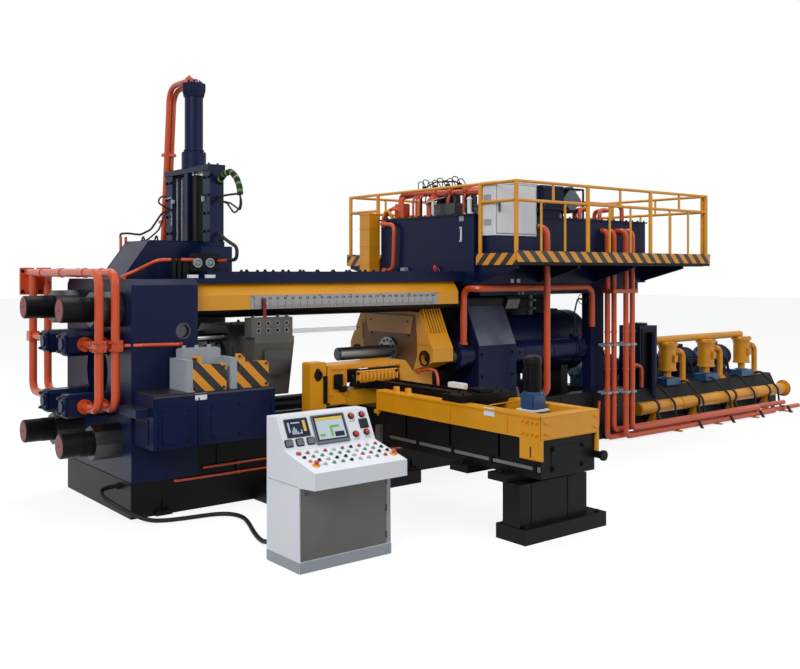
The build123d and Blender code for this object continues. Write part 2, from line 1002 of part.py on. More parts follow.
def fence(start, end, bays, balusters):
    """Posts, top rail and middle rail along one side of the platform."""
    first = Vector(*start)
    way = Vector(*end) - first
    foot = deck_top
    for number in range(bays + 1):
        place = first + way * (number / bays)
        bar((place.X, place.Y, foot), (place.X, place.Y, rail_top), post_radius, sides=8)
    for height in (rail_mid, rail_top):
        bar((first.X, first.Y, height), (first.X + way.X, first.Y + way.Y, height),
            rail_radius, sides=8)
    for number in range(bays * balusters):
        if (number + 1) % balusters:
            place = first + way * ((number + 1) / (bays * balusters))
            bar((place.X, place.Y, foot), (place.X, place.Y, rail_mid), baluster_radius, sides=6)


rail_inset = 40
with BuildPart() as railing_sides:
    fence((deck_start + rail_inset, -deck_near + rail_inset),
          (deck_end - rail_inset, -deck_near + rail_inset), post_bays, 3)
    fence((deck_start + rail_inset, deck_far - rail_inset),
          (deck_end - rail_inset, deck_far - rail_inset), post_bays, 3)
save(railing_sides.part, "railing_sides")

with BuildPart() as railing_ends:
    apart = 2 * post_radius + post_gap
    fence((deck_end - rail_inset, -deck_near + rail_inset + apart),
          (deck_end - rail_inset, deck_far - rail_inset - apart), 2, 3)
    x = deck_start + rail_inset
    rail_near = -deck_near + rail_inset + post_radius + post_gap
    rail_far = deck_far - rail_inset - post_radius - post_gap
    gate_near = -tank_half_width - 60
    gate_far = tank_half_width + 150
    for y in (gate_near, gate_far):
        bar((x, y, deck_top), (x, y, rail_top), post_radius, sides=8)
    bar((x, rail_near, rail_top), (x, rail_far, rail_top), rail_radius, sides=8)
    bar((x, rail_near, rail_mid), (x, gate_near, rail_mid), rail_radius, sides=8)
    bar((x, gate_far, rail_mid), (x, rail_far, rail_mid), rail_radius, sides=8)
save(railing_ends.part, "railing_ends")

# Electrical cabinet on its plinth, in the near corner of the platform
with BuildPart() as cabinet:
    block((cabinet_x, cabinet_x + cabinet_width),
          (-cabinet_near, cabinet_back),
          (cabinet_bottom, cabinet_bottom + cabinet_height))
    fillet(cabinet.edges().filter_by(Axis.Z), 12)
save(cabinet.part, "cabinet")

# Oil cooler with its fan and motor
with BuildPart() as oil_cooler:
    block((cooler_x, cooler_x + cooler_width), (-cooler_depth, -cooler_far),
          (tank_roof + cooler_foot, cooler_top))
    for y in (-cooler_depth + cooler_foot_width, -cooler_far - 100):
        block((cooler_x + 30, cooler_x + cooler_width - 30), (y, y + cooler_foot_width),
              (tank_roof, tank_roof + cooler_foot))
    middle = (tank_roof + cooler_foot + cooler_top) / 2
    fan_y = -(cooler_depth + cooler_far) / 2
    fan_start = cooler_x + cooler_width
    fan_end = fan_start + fan_length
    bar((fan_start, fan_y, middle), (fan_end, fan_y, middle), fan_radius)
    bar((fan_end, fan_y, middle), (fan_end + fan_motor_length, fan_y, middle), fan_motor_radius)
save(oil_cooler.part, "oil_cooler")

# Valve blocks on the tank lid
with BuildPart() as valve_blocks:
    valve_top = tank_roof + valve_height
    for number in range(valve_count):
        x = tank_start + valve_first + number * valve_pitch
        middle = x + valve_length / 2
        block((x, x + valve_length), (-valve_near, valve_far), (tank_roof, valve_top))
        for row in range(3):
            y = -valve_near + 90 + row * solenoid_pitch
            bar((middle, y, valve_top), (middle, y, valve_top + solenoid_height),
                solenoid_radius, sides=8)
save(valve_blocks.part, "valve_blocks")

# Cable duct at the far side of the tank's front
with BuildPart() as cable_duct:
    block((deck_start - duct_depth, deck_start), (duct_near, duct_far), (duct_bottom, duct_top))
save(cable_duct.part, "cable_duct")

# Skid of the pump station
with BuildPart() as pump_skid:
    section = [
        (-skid_near, 0),
        (skid_far, 0),
        (skid_far, skid_height),
        (300 + motor_y, skid_top_height),
        (-skid_near + 120, skid_top_height),
        (-skid_near, skid_height),
    ]
    plate_along_x(section, (skid_start, skid_end))
save(pump_skid.part, "pump_skid")

# Electric motors on the skid, with feet and fan covers
filter_foot = skid_top_height + filter_block_height
pump_x = [pump_first + pump_pitch * number for number in range(pump_count)]
with BuildPart() as pump_motors:
    for x in pump_x:
        bar((x, motor_y, motor_axis_height), (x + motor_length, motor_y, motor_axis_height),
            motor_radius)
        bar((x + motor_length, motor_y, motor_axis_height),
            (x + motor_length + motor_cover_length, motor_y, motor_axis_height),
            motor_radius - 40)
        block((x + 90, x + motor_length - 90),
              (motor_y - motor_foot_half, motor_y + motor_foot_half),
              (skid_top_height, motor_axis_height - 100))
        block((x + 180, x + 400), (motor_y - 90, motor_y + 90),
              (motor_axis_height + 180, motor_axis_height + 290))
    block((motor_box_start, motor_box_start + motor_box_length),
          (-motor_box_near, -motor_box_far), (skid_top_height, motor_box_top))
save(pump_motors.part, "pump_motors")

# Pumps in front of the motors
with BuildPart() as pumps:
    for x in pump_x:
        bar((x - pump_length, motor_y, motor_axis_height), (x, motor_y, motor_axis_height),
            pump_radius)
        block((x - 240, x - 60), (motor_y - 120, motor_y + 120),
              (skid_top_height, motor_axis_height))
    for x in pump_x[1:]:
        block((x - filter_block_half_length, x + filter_block_half_length),
              (filter_y - filter_block_half_width, filter_y + filter_block_half_width),
              (skid_top_height, filter_foot))
save(pumps.part, "pumps")

# Suction filters, the header that joins them and the elbow that drops from each
with BuildPart() as filters:
    for x in pump_x[1:]:
        bar((x, filter_y, filter_foot), (x, filter_y, filter_bottom), filter_neck_radius)
        bar((x, filter_y, filter_bottom), (x, filter_y, filter_top), filter_radius)
        bar((x, filter_y, filter_top), (x, filter_y, filter_top + filter_lid), filter_flange_radius)
    header_y = filter_y + header_radius
    header_z = filter_top + filter_lid + header_radius
    bar((pump_x[1] - 300, header_y, header_z), (pump_x[3] + 60, header_y, header_z), header_radius)
    elbow_top = filter_top - filter_elbow_drop
    elbow_foot = skid_top_height + flange_thickness
    for x in pump_x[1:]:
        down = x + filter_elbow_reach
        pipe(
            [
                (x + filter_radius, filter_y, elbow_top),
                (down, filter_y, elbow_top),
                (down, filter_y, elbow_foot),
            ],
            filter_elbow_radius,
            120,
        )
        bar((down, filter_y, skid_top_height), (down, filter_y, elbow_foot), filter_elbow_flange)
save(filters.part, "filters")

# Fat suction pipe along the skid, closed at its end
with BuildPart() as suction_pipe:
    bar((suction_start, suction_y, suction_z), (suction_end, suction_y, suction_z), suction_radius)
    for number in range(suction_foot_count):
        x = suction_start + suction_foot_first + number * suction_foot_pitch
        across = (x, x + suction_foot_width)
        block(across, (suction_y - 60, suction_y + 60), (0, suction_z - 60))
        block(across, (riser_y - riser_row_gap - 80, -skid_near), (0, pipe_strip))
save(suction_pipe.part, "suction_pipe")

# Pressure pipes from the tank down to the floor and along the pump skid
with BuildPart() as riser_pipes:
    for number, (x, y) in enumerate(riser_places):
        z = pipe_strip + riser_radius + riser_row_gap * (number % 2)
        pipe(
            [
                (x, -tank_half_width, riser_top),
                (x, y, riser_top),
                (x, y, z),
                (skid_end - 100 - number * riser_end_step, y, z),
            ],
            riser_radius,
            riser_bend,
        )
    block((riser_places[0][0] - 60, riser_places[-1][0] + 60),
          (riser_y - riser_row_gap - 60, riser_y + 60),
          (riser_clamp_bottom, riser_clamp_bottom + riser_clamp_height))
save(riser_pipes.part, "riser_pipes")

# Drop pipe from the tank to the base, and the feed pipe of the near side cylinder
with BuildPart() as tank_pipes:
    pipe(
        [
            (drop_x, -tank_half_width, drop_top),
            (drop_x, drop_y, drop_top),
            (drop_x, drop_y, drop_foot),
            (drop_x, -base_half_width, drop_foot),
        ],
        main_pipe_radius,
        elbow_radius,
    )
    feed_foot = side_cylinder_height + side_cylinder_radius + running_gap
    bar((feed_x, feed_y, feed_foot), (feed_x, feed_y, feed_foot + 30), feed_flange_radius)
    pipe(
        [
            (feed_x, feed_y, feed_foot),
            (feed_x, feed_y, feed_run_height),
            (feed_x, feed_run_y, feed_run_height),
            (feed_run_end, feed_run_y, feed_run_height),
            (feed_run_end, feed_run_y, feed_drop_end),
        ],
        main_pipe_radius,
        elbow_radius,
    )
save(tank_pipes.part, "tank_pipes")

# Orange pipes on the exit face, with a valve block at each upper port
exit_top = platen_top + main_pipe_radius + 20
port_face = shift_cylinder_half_gap + shift_cylinder_radius
upper_port = axis_height + shift_cylinder_rise
lower_port = axis_height - shift_cylinder_rise
with BuildPart() as exit_pipes:
    for x, far_end in exit_runs:
        pipe(
            [
                (x, far_end, exit_top),
                (x, -exit_pipe_near, exit_top),
                (x, -exit_pipe_near, lower_port),
                (x, -port_face, lower_port),
            ],
            main_pipe_radius,
            elbow_radius,
        )
        pipe(
            [
                (x, exit_pipe_far, exit_top),
                (x, exit_pipe_far, lower_port),
                (x, port_face, lower_port),
            ],
            main_pipe_radius,
            elbow_radius,
        )
        for y, face in ((-exit_pipe_near, -port_face), (exit_pipe_far, port_face)):
            bar((x, y, upper_port), (x, face, upper_port), main_pipe_radius - 5)
            half = valve_block_half
            block((x - half, x + half), (y - half, y + half), (upper_port - half, upper_port + half))
            for z in (upper_port, lower_port):
                outer = face + port_flange_thickness * (1 if y > 0 else -1)
                bar((x, face, z), (x, outer, z), port_flange_radius)
        block((x - header_plate_half, x + header_plate_half),
              (far_end, far_end + header_plate_thickness), (exit_top - 260, exit_top + 60))
        gusset = [
            (far_end, exit_top),
            (far_end - 320, exit_top),
            (far_end, exit_top - 240),
        ]
        plate_along_x(gusset, (x - 10, x + 10))
save(exit_pipes.part, "exit_pipes")

# Billet loader: black bed with foot pads on its pier
loader_middle = loader_x + loader_width / 2
with BuildPart() as loader_bed:
    inset = loader_leg_plate + running_gap
    block((loader_x + inset, loader_x + loader_width - inset),
          (-loader_near_end + loader_leg_plate, -loader_far_end),
          (loader_bed_bottom, loader_beam_bottom))
    for y in loader_pad_places:
        block((loader_x - 80, loader_x + loader_width + 80), (-y - 130, -y + 130),
              (loader_bed_bottom - loader_pad_thickness, loader_bed_bottom))
    block((loader_x + 100, loader_x + loader_width - 100),
          (-loader_far_end, -base_half_width), (loader_bed_bottom + 80, loader_beam_bottom))
    block((loader_x - 50, loader_x + loader_width + 80),
          (-pier_web_near, -pier_web_near + pier_web_thickness),
          (pier_foot_height, loader_bed_bottom - loader_pad_thickness))
    middle = -pier_web_near + pier_web_thickness / 2
    block((loader_x - 60, loader_x + loader_width + 280),
          (middle - pier_foot_half_length, middle + pier_foot_half_length), (0, pier_foot_height))
save(loader_bed.part, "loader_bed")

# Yellow frame: two long beams, an end beam and corner legs
with BuildPart() as loader_frame:
    for x in (loader_x, loader_x + loader_width - loader_beam_width):
        block((x, x + loader_beam_width), (-loader_near_end, -loader_far_end),
              (loader_beam_bottom, loader_beam_top))
    block((loader_x, loader_x + loader_width), (-loader_near_end, -loader_near_end + loader_beam_width),
          (loader_beam_bottom, loader_beam_top))
    for x in (loader_x, loader_x + loader_width - loader_leg_plate):
        block((x, x + loader_leg_plate), (-loader_near_end, -loader_near_end + loader_leg_length),
              (loader_leg_bottom, loader_beam_bottom))
save(loader_frame.part, "loader_frame")

# Drive of the loader
with BuildPart() as loader_drive:
    block((loader_middle - 20, loader_middle + 230),
          (-loader_drive_y - 110, -loader_drive_y + 110), (loader_beam_bottom, 1130))
    bar((loader_middle + 105, -loader_drive_y, 1130),
        (loader_middle + 105, -loader_drive_y, loader_drive_top), loader_drive_radius)
save(loader_drive.part, "loader_drive")

# Head frame of the loader at the press: a plate frame with a rounded window
window_bottom = arm_bottom - running_gap
with BuildPart() as loader_head:
    with BuildSketch(Plane.XZ.offset(head_far)) as frame_shape:
        with BuildLine():
            Polyline(
                (head_left, head_bottom + 50),
                (head_left + 340, head_bottom),
                (head_right - 400, head_bottom),
                (head_right, head_bottom + 115),
                (head_right, head_bottom + 175),
                (head_right - 250, head_top - 15),
                (head_right - 400, head_top),
                (head_left, head_top - 15),
                close=True,
            )
        make_face()
        with Locations(((window_left + window_right) / 2, (window_bottom + window_top) / 2)):
            Rectangle(window_right - window_left, window_top - window_bottom, mode=Mode.SUBTRACT)
        upper_corners = frame_shape.vertices().filter_by(
            lambda corner: abs(corner.Z - window_top) < 1
        )
        fillet(upper_corners, window_corner)
    extrude(frame_shape.sketch, amount=head_near - head_far)
save(loader_head.part, "loader_head")

# Slender tower beside the head, on the plinth of the base, with an oval eye
with BuildPart() as loader_tower:
    block((tower_left, tower_right), (-head_near, -head_near + tower_depth),
          (plinth_height, tower_top))
    block((tower_right, head_left), (-head_near + 30, -head_near + tower_depth),
          (head_bottom + 60, head_bottom + 160))
    middle = (tower_left + tower_right) / 2
    with BuildSketch(Plane.XZ.offset(head_near)) as eye:
        with Locations((middle, tower_top - 140)):
            SlotOverall(tower_slot_length, tower_slot_width, rotation=90)
    extrude(eye.sketch, amount=-tower_depth, mode=Mode.SUBTRACT)
    fillet(loader_tower.edges().filter_by(Axis.Y).group_by(Axis.Z)[-1], 25)
save(loader_tower.part, "loader_tower")

# Moving arm, its carriage on the two beams, and the billet cradle
with BuildPart() as loader_arm:
    block((loader_middle - arm_half_width, loader_middle + arm_half_width),
          (-arm_start, -arm_end), (arm_bottom, arm_top))
    block((loader_x + carriage_inset, loader_x + loader_width - carriage_inset),
          (-arm_start, -arm_start + carriage_length),
          (loader_beam_top + running_gap, loader_beam_top + carriage_height))
    block((loader_middle - cradle_half_length, loader_middle + cradle_half_length),
          (-arm_end - 2 * cradle_half_width, -arm_end), (arm_bottom, arm_top))
    for x in (loader_middle - cradle_half_length, loader_middle + cradle_half_length - 80):
        outline = [
            (-arm_end - 2 * cradle_half_width, arm_top),
            (-arm_end, arm_top),
            (-arm_end, arm_top + cradle_rise),
            (-arm_end - 50, arm_top + cradle_rise),
            (-arm_end - cradle_half_width, arm_top + cradle_valley),
            (-arm_end - 2 * cradle_half_width + 50, arm_top + cradle_rise),
            (-arm_end - 2 * cradle_half_width, arm_top + cradle_rise),
        ]
        plate_along_x(outline, (x, x + 80))
save(loader_arm.part, "loader_arm")

# Operator desk with a sloping desk top and toe band
with BuildPart() as desk_body:
    outline = [
        (-desk_back, desk_toe),
        (-desk_back, desk_top),
        (-desk_back - desk_shelf, desk_top),
        (-desk_back - 300, 980),
        (-desk_back - desk_depth, 870),
        (-desk_back - desk_depth, 730),
        (-desk_back - desk_knee + 10, 710),
        (-desk_back - desk_knee, desk_toe),
    ]
    plate_along_x(outline, (desk_x, desk_x + desk_width))
    block((desk_x, desk_x + desk_width), (-desk_back - desk_knee, -desk_back), (0, desk_toe))
save(desk_body.part, "desk_body")

# Cord from the base to the desk, and the two glands that it runs between
cord_points = [Vector(*point) for point in cord_route]
cord_bends = []
for before, at, after in zip(cord_points, cord_points[1:], cord_points[2:]):
    shorter = min((at - before).length, (after - at).length)
    turn = (at - before).get_angle(after - at)
    cord_bends.append(0.45 * shorter / tan(radians(turn) / 2))
print("cord radii", [round(radius) for radius in cord_bends])
with BuildPart() as desk_cord:
    with BuildLine() as cord_line:
        FilletPolyline(*cord_points, radius=cord_bends)
    with BuildSketch(Plane(origin=cord_line.line @ 0, z_dir=cord_line.line % 0)):
        RegularPolygon(cord_radius, cord_sides)
    sweep(path=cord_line.line)
cord_length = sum(edge.length for edge in cord_line.line.edges())
cord_section = cord_sides * cord_radius**2 * sin(2 * pi / cord_sides) / 2
cord_volume = cord_section * cord_length
print("cord length", round(cord_length), "volume share", round(desk_cord.part.volume / cord_volume, 4))
save(desk_cord.part, "desk_cord")

with BuildPart() as cord_glands:
    exit_y, exit_z = cord_route[0][1:]
    bar((0, exit_y, exit_z), (-gland_length, exit_y, exit_z), gland_radius)
    entry_x, entry_y, entry_z = cord_route[-1]
    bar((entry_x, -desk_back, entry_z), (entry_x, entry_y, entry_z), gland_radius)
save(cord_glands.part, "cord_glands")
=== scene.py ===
# %% [markdown]
# # An aluminium extrusion press
# A hydraulic press pushes a hot billet through a die. This file dresses its CAD
# model: the solids are already in place, in metres, and every finish and small
# piece here is fitted to them. The press axis is X, the working side is -Y.

# %% Load the fixed frame
import json
import math

import bmesh
import bpy
from mathutils import Matrix, Vector


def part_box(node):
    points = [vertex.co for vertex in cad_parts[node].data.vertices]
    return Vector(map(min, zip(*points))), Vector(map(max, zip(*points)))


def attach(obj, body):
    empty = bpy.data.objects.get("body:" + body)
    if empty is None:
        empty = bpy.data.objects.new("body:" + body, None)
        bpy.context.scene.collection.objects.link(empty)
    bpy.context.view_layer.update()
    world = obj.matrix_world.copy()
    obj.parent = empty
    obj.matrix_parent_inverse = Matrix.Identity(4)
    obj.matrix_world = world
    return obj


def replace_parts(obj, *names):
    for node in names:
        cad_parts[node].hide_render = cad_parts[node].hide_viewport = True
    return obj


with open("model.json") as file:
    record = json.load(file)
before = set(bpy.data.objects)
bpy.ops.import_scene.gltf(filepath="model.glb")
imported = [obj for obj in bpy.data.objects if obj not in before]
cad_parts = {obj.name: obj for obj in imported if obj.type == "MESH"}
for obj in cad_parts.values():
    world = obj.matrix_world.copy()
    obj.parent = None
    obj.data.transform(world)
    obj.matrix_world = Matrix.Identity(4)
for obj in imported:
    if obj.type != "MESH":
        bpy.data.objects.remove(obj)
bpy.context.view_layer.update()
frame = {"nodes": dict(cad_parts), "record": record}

# %% [markdown]
# The camera comes first, so that every later look can be set against the
# photograph. Its level view was worked out from the vanishing points of the base
# and the platform. Tilting the camera would lean the uprights, so the picture is
# framed with a vertical shift instead.

# %% Camera
camera = bpy.data.objects.new("camera", bpy.data.cameras.new("camera"))
camera.location = (-3.755, -9.99, 2.5)
camera.rotation_euler = (math.radians(90), 0, math.radians(-38.5))
camera.data.lens = 42.2
camera.data.shift_y = -0.0788
camera.data.clip_end = 200
bpy.context.scene.collection.objects.link(camera)
bpy.context.scene.camera = camera

# %% [markdown]
# The cord runs from the exit end of the base to the back of the desk. A NURBS
# curve of order three passes smoothly between a few chosen points, which looks
# like a heavy cable that lies under its own weight.

# %% Cord from the press to the desk
CORD_ROUTE = (
    (-0.040, -0.620, 0.290),
    (-0.190, -0.620, 0.290),
    (-0.270, -0.820, 0.262),
    (-0.190, -1.010, 0.190),
    (-0.060, -1.110, 0.100),
    (0.080, -1.180, 0.034),
    (0.210, -1.235, 0.024),
    (0.360, -1.275, 0.024),
    (0.560, -1.300, 0.024),
    (0.750, -1.330, 0.024),
    (0.870, -1.430, 0.024),
    (0.895, -1.610, 0.024),
    (0.830, -1.830, 0.024),
    (0.735, -2.070, 0.024),
    (0.650, -2.310, 0.024),
    (0.596, -2.520, 0.030),
    (0.590, -2.680, 0.080),
    (0.590, -2.870, 0.080),
)
CORD_RADIUS = 0.022


def cord_curve(name, points, radius):
    """One smooth NURBS curve through the chosen route."""
    curve = bpy.data.curves.new(name, "CURVE")
    curve.dimensions = "3D"
    curve.bevel_depth = radius
    curve.bevel_resolution = 5
    curve.resolution_u = 10
    curve.use_fill_caps = True
    spline = curve.splines.new("NURBS")
    spline.points.add(len(points) - 1)
    for spot, place in zip(spline.points, points):
        spot.co = (*place, 1)
    spline.order_u = 3
    spline.use_endpoint_u = True
    piece = bpy.data.objects.new(name, curve)
    bpy.context.scene.collection.objects.link(piece)
    return piece


desk_cable = cord_curve("desk_cable", CORD_ROUTE, CORD_RADIUS)

# %% [markdown]
# A paint shop finishes such a machine in one coat over cast and welded steel.
# Seen close up the coat has a faint orange-peel bump and its gloss drifts a
# little, so each paint is a Principled shader whose roughness and bump come from
# noise on Object coordinates. Fine dirt gathers in a slow second noise.

# %% Paint and metal finishes
FINISHES = {}


def new_material(slot, roughness, metallic=0.0):
    """A Principled material with its own node tree."""
    made = bpy.data.materials.new(slot)
    made.use_nodes = True
    shader = made.node_tree.nodes["Principled BSDF"]
    shader.inputs["Roughness"].default_value = roughness
    shader.inputs["Metallic"].default_value = metallic
    FINISHES[slot] = made
    return made, made.node_tree, shader


def object_noise(tree, scale, detail=3.0, stretch=(1, 1, 1)):
    """Noise on Object coordinates, stretched where the finish has a grain."""
    coordinates = tree.nodes.new("ShaderNodeTexCoord")
    mapping = tree.nodes.new("ShaderNodeMapping")
    mapping.inputs["Scale"].default_value = stretch
    noise = tree.nodes.new("ShaderNodeTexNoise")
    noise.inputs["Scale"].default_value = scale
    noise.inputs["Detail"].default_value = detail
    tree.links.new(coordinates.outputs["Object"], mapping.inputs["Vector"])
    tree.links.new(mapping.outputs["Vector"], noise.inputs["Vector"])
    return noise


def ramp(tree, source, low, high, start=0.35, end=0.65):
    """Turns a noise value into a colour between two."""
    node = tree.nodes.new("ShaderNodeValToRGB")
    node.color_ramp.elements[0].position = start
    node.color_ramp.elements[0].color = (*low, 1)
    node.color_ramp.elements[1].position = end
    node.color_ramp.elements[1].color = (*high, 1)
    tree.links.new(source, node.inputs["Fac"])
    return node


def spread(tree, source, low, high):
    """Maps a value from 0..1 to a narrow range."""
    node = tree.nodes.new("ShaderNodeMapRange")
    node.inputs["To Min"].default_value = low
    node.inputs["To Max"].default_value = high
    tree.links.new(source, node.inputs["Value"])
    return node.outputs["Result"]


def bump(tree, shader, source, strength, distance):
    """Feeds a height into the shader's normal."""
    node = tree.nodes.new("ShaderNodeBump")
    node.inputs["Strength"].default_value = strength
    node.inputs["Distance"].default_value = distance
    tree.links.new(source, node.inputs["Height"])
    tree.links.new(node.outputs["Normal"], shader.inputs["Normal"])


def paint(slot, colour, roughness=0.38, drift=0.10, peel=70, coat=0.0, specular=0.4):
    """A coat of machine enamel."""
    made, tree, shader = new_material(slot, roughness)
    shader.inputs["Specular IOR Level"].default_value = specular
    slow = object_noise(tree, 1.6, 5)
    darker = tuple(part * (1 - drift) for part in colour)
    lighter = tuple(min(1, part * (1 + drift)) for part in colour)
    shade = ramp(tree, slow.outputs["Fac"], darker, lighter)
    tree.links.new(shade.outputs["Color"], shader.inputs["Base Color"])
    fine = object_noise(tree, peel, 2)
    gloss = spread(tree, slow.outputs["Fac"], roughness - 0.06, roughness + 0.10)
    tree.links.new(gloss, shader.inputs["Roughness"])
    bump(tree, shader, fine.outputs["Fac"], 0.12, 0.002)
    shader.inputs["Coat Weight"].default_value = coat
    shader.inputs["Coat Roughness"].default_value = 0.2
    return made


def metal(slot, colour, roughness=0.3, grain=(1, 40, 40)):
    """Bare machined steel with its tool marks along one direction."""
    made, tree, shader = new_material(slot, roughness, 1.0)
    marks = object_noise(tree, 9, 3, grain)
    darker = tuple(part * 0.82 for part in colour)
    shade = ramp(tree, marks.outputs["Fac"], darker, colour)
    tree.links.new(shade.outputs["Color"], shader.inputs["Base Color"])
    gloss = spread(tree, marks.outputs["Fac"], roughness - 0.08, roughness + 0.12)
    tree.links.new(gloss, shader.inputs["Roughness"])
    bump(tree, shader, marks.outputs["Fac"], 0.08, 0.001)
    return made


paint("navy_paint", (0.0060, 0.0110, 0.046), 0.30, 0.16, specular=0.13)
paint("black_paint", (0.0055, 0.0055, 0.0065), 0.36, 0.15, specular=0.12)
paint("yellow_paint", (0.74, 0.315, 0.007), 0.34, 0.07, coat=0.12)
paint("orange_paint", (0.60, 0.072, 0.014), 0.30, 0.08, coat=0.2)
paint("container_grey", (0.095, 0.088, 0.080), 0.5, 0.14)
paint("light_grey_paint", (0.33, 0.36, 0.40), 0.40, 0.06)
paint("white_paint", (0.76, 0.79, 0.83), 0.45, 0.02, 160)
paint("pump_blue", (0.018, 0.075, 0.20), 0.30, coat=0.15)
paint("red_paint", (0.17, 0.004, 0.008), 0.4)
paint("cable_black", (0.008, 0.008, 0.009), 0.55, 0.05, 200, specular=0.3)
metal("polished_steel", (0.58, 0.59, 0.61), 0.22)
metal("dark_steel", (0.085, 0.085, 0.09), 0.38, (8, 8, 8))
metal("ruler_plate", (0.27, 0.265, 0.27), 0.45)
print("finishes", len(FINISHES))

# %% [markdown]
# Edges that a person may catch a foot or a hand on carry slanting yellow and
# black stripes. A stripe is the sign of a sine along a slanted direction, so it
# stays the same width all over the plate.

# %% Hazard stripes
STRIPES_PER_METRE = 4.6


def hazard(slot, bright, dark, per_metre, slant):
    """Slanted stripes across X, Y and Z, on Object coordinates."""
    made, tree, shader = new_material(slot, 0.4)
    coordinates = tree.nodes.new("ShaderNodeTexCoord")
    along = tree.nodes.new("ShaderNodeVectorMath")
    along.operation = "DOT_PRODUCT"
    along.inputs[1].default_value = (per_metre, per_metre, slant * per_metre)
    tree.links.new(coordinates.outputs["Object"], along.inputs[0])
    fraction = tree.nodes.new("ShaderNodeMath")
    fraction.operation = "FRACT"
    tree.links.new(along.outputs["Value"], fraction.inputs[0])
    edge = tree.nodes.new("ShaderNodeMath")
    edge.operation = "GREATER_THAN"
    edge.inputs[1].default_value = 0.5
    tree.links.new(fraction.outputs["Value"], edge.inputs[0])
    shade = ramp(tree, edge.outputs["Value"], dark, bright, 0.4, 0.6)
    tree.links.new(shade.outputs["Color"], shader.inputs["Base Color"])
    return made


hazard("hazard_plate", (0.76, 0.30, 0.012), (0.007, 0.007, 0.008), STRIPES_PER_METRE, 1.0)

# %% [markdown]
# The CAD nodes keep their shape. Each one takes the finish that its row in the
# record names, so a change of slot there reaches the picture.

# %% Dress the CAD nodes
def refinish(node_name, slot):
    """Gives a CAD node another finish on its material slots."""
    for material_slot in frame["nodes"][node_name].material_slots:
        material_slot.material = FINISHES[slot]


NODE_SLOT = {}
for row in frame["record"]["subparts"]:
    NODE_SLOT[row["node"]] = row["material_slot"]
for node_name in frame["nodes"]:
    if node_name in NODE_SLOT:
        refinish(node_name, NODE_SLOT[node_name])
print("dressed", len(NODE_SLOT), "nodes")

desk_cable.data.materials.append(FINISHES["cable_black"])
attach(desk_cable, "frame")
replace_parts(desk_cable, "desk_cord")

# %% [markdown]
# Small machine parts are easiest to keep apart when each has one mesh. These
# helpers add boxes, round bars and flat-sided prisms to one bmesh, give them a
# small bevel so that their edges catch light as real edges do, and hand the
# finished piece to its body and its finish.

# %% Tools for small pieces
def add_box(work, low, high, bevel=0.0):
    """A box between two corners, with rounded edges if bevel is given."""
    made = bmesh.ops.create_cube(work, size=1)
    size = [b - a for a, b in zip(low, high)]
    middle = [(a + b) / 2 for a, b in zip(low, high)]
    bmesh.ops.scale(work, vec=size, verts=made["verts"])
    bmesh.ops.translate(work, vec=middle, verts=made["verts"])
    if bevel:
        edges = {edge for corner in made["verts"] for edge in corner.link_edges}
        bmesh.ops.bevel(work, geom=list(edges), offset=bevel, segments=2, affect="EDGES")


def add_rod(work, start, end, radius, sides=24, end_radius=None):
    """A round bar or a cone between two points."""
    start, end = Vector(start), Vector(end)
    way = end - start
    turn = way.to_track_quat("Z", "Y").to_matrix().to_4x4()
    place = Matrix.Translation((start + end) / 2) @ turn
    bmesh.ops.create_cone(
        work, cap_ends=True, segments=sides, radius1=radius,
        radius2=radius if end_radius is None else end_radius, depth=way.length, matrix=place)


def add_ring(work, start, end, radius, bore, sides=32):
    """A washer or a short pipe between two points."""
    start, end = Vector(start), Vector(end)
    turn = (end - start).to_track_quat("Z", "Y").to_matrix().to_4x4()
    length = (end - start).length
    rows = []
    for height, reach in ((0, radius), (length, radius), (length, bore), (0, bore)):
        row = []
        for number in range(sides):
            angle = 2 * math.pi * number / sides
            spot = Vector((reach * math.cos(angle), reach * math.sin(angle), height))
            row.append(work.verts.new(start + (turn @ spot)))
        rows.append(row)
    for first, second in zip(rows, rows[1:] + rows[:1]):
        for number in range(sides):
            after = (number + 1) % sides
            work.faces.new((first[number], first[after], second[after], second[number]))


def add_prism(work, outline, push):
    """A flat outline of 3D points pushed along a vector."""
    lower = [work.verts.new(point) for point in outline]
    upper = [work.verts.new(Vector(point) + Vector(push)) for point in outline]
    work.faces.new(lower)
    work.faces.new(list(reversed(upper)))
    for number in range(len(outline)):
        after = (number + 1) % len(outline)
        work.faces.new((lower[number], upper[number], upper[after], lower[after]))


def finish_piece(name, work, slot, body="frame", smooth_angle=35):
    """Closes the mesh, gives it a finish, a body and a material slot."""
    bmesh.ops.recalc_face_normals(work, faces=work.faces)
    mesh = bpy.data.meshes.new(name)
    work.to_mesh(mesh)
    work.free()
    mesh.materials.append(FINISHES[slot])
    for face in mesh.polygons:
        face.use_smooth = True
    mesh.set_sharp_from_angle(angle=math.radians(smooth_angle))
    piece = bpy.data.objects.new(name, mesh)
    bpy.context.scene.collection.objects.link(piece)
    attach(piece, body)
    return piece


# %% [markdown]
# Hydraulic pipes are bent tubes with round elbows. Each corner of a route is
# replaced by an arc, and a ring of points is carried along the run, turned to
# face the way it goes, so the tube keeps its width through every bend.

# %% Bent pipes
def rounded_route(points, bend, steps=7):
    """The route with an arc of the given radius in each corner."""
    points = [Vector(point) for point in points]
    route = [points[0]]
    for before, at, after in zip(points, points[1:], points[2:]):
        back = (before - at).normalized()
        ahead = (after - at).normalized()
        half = back.angle(ahead) / 2
        reach = min(bend / math.tan(half), (before - at).length * 0.48, (after - at).length * 0.48)
        start, end = at + back * reach, at + ahead * reach
        for number in range(steps + 1):
            share = number / steps
            route.append(start.lerp(at, share).lerp(at.lerp(end, share), share))
    route.append(points[-1])
    return route


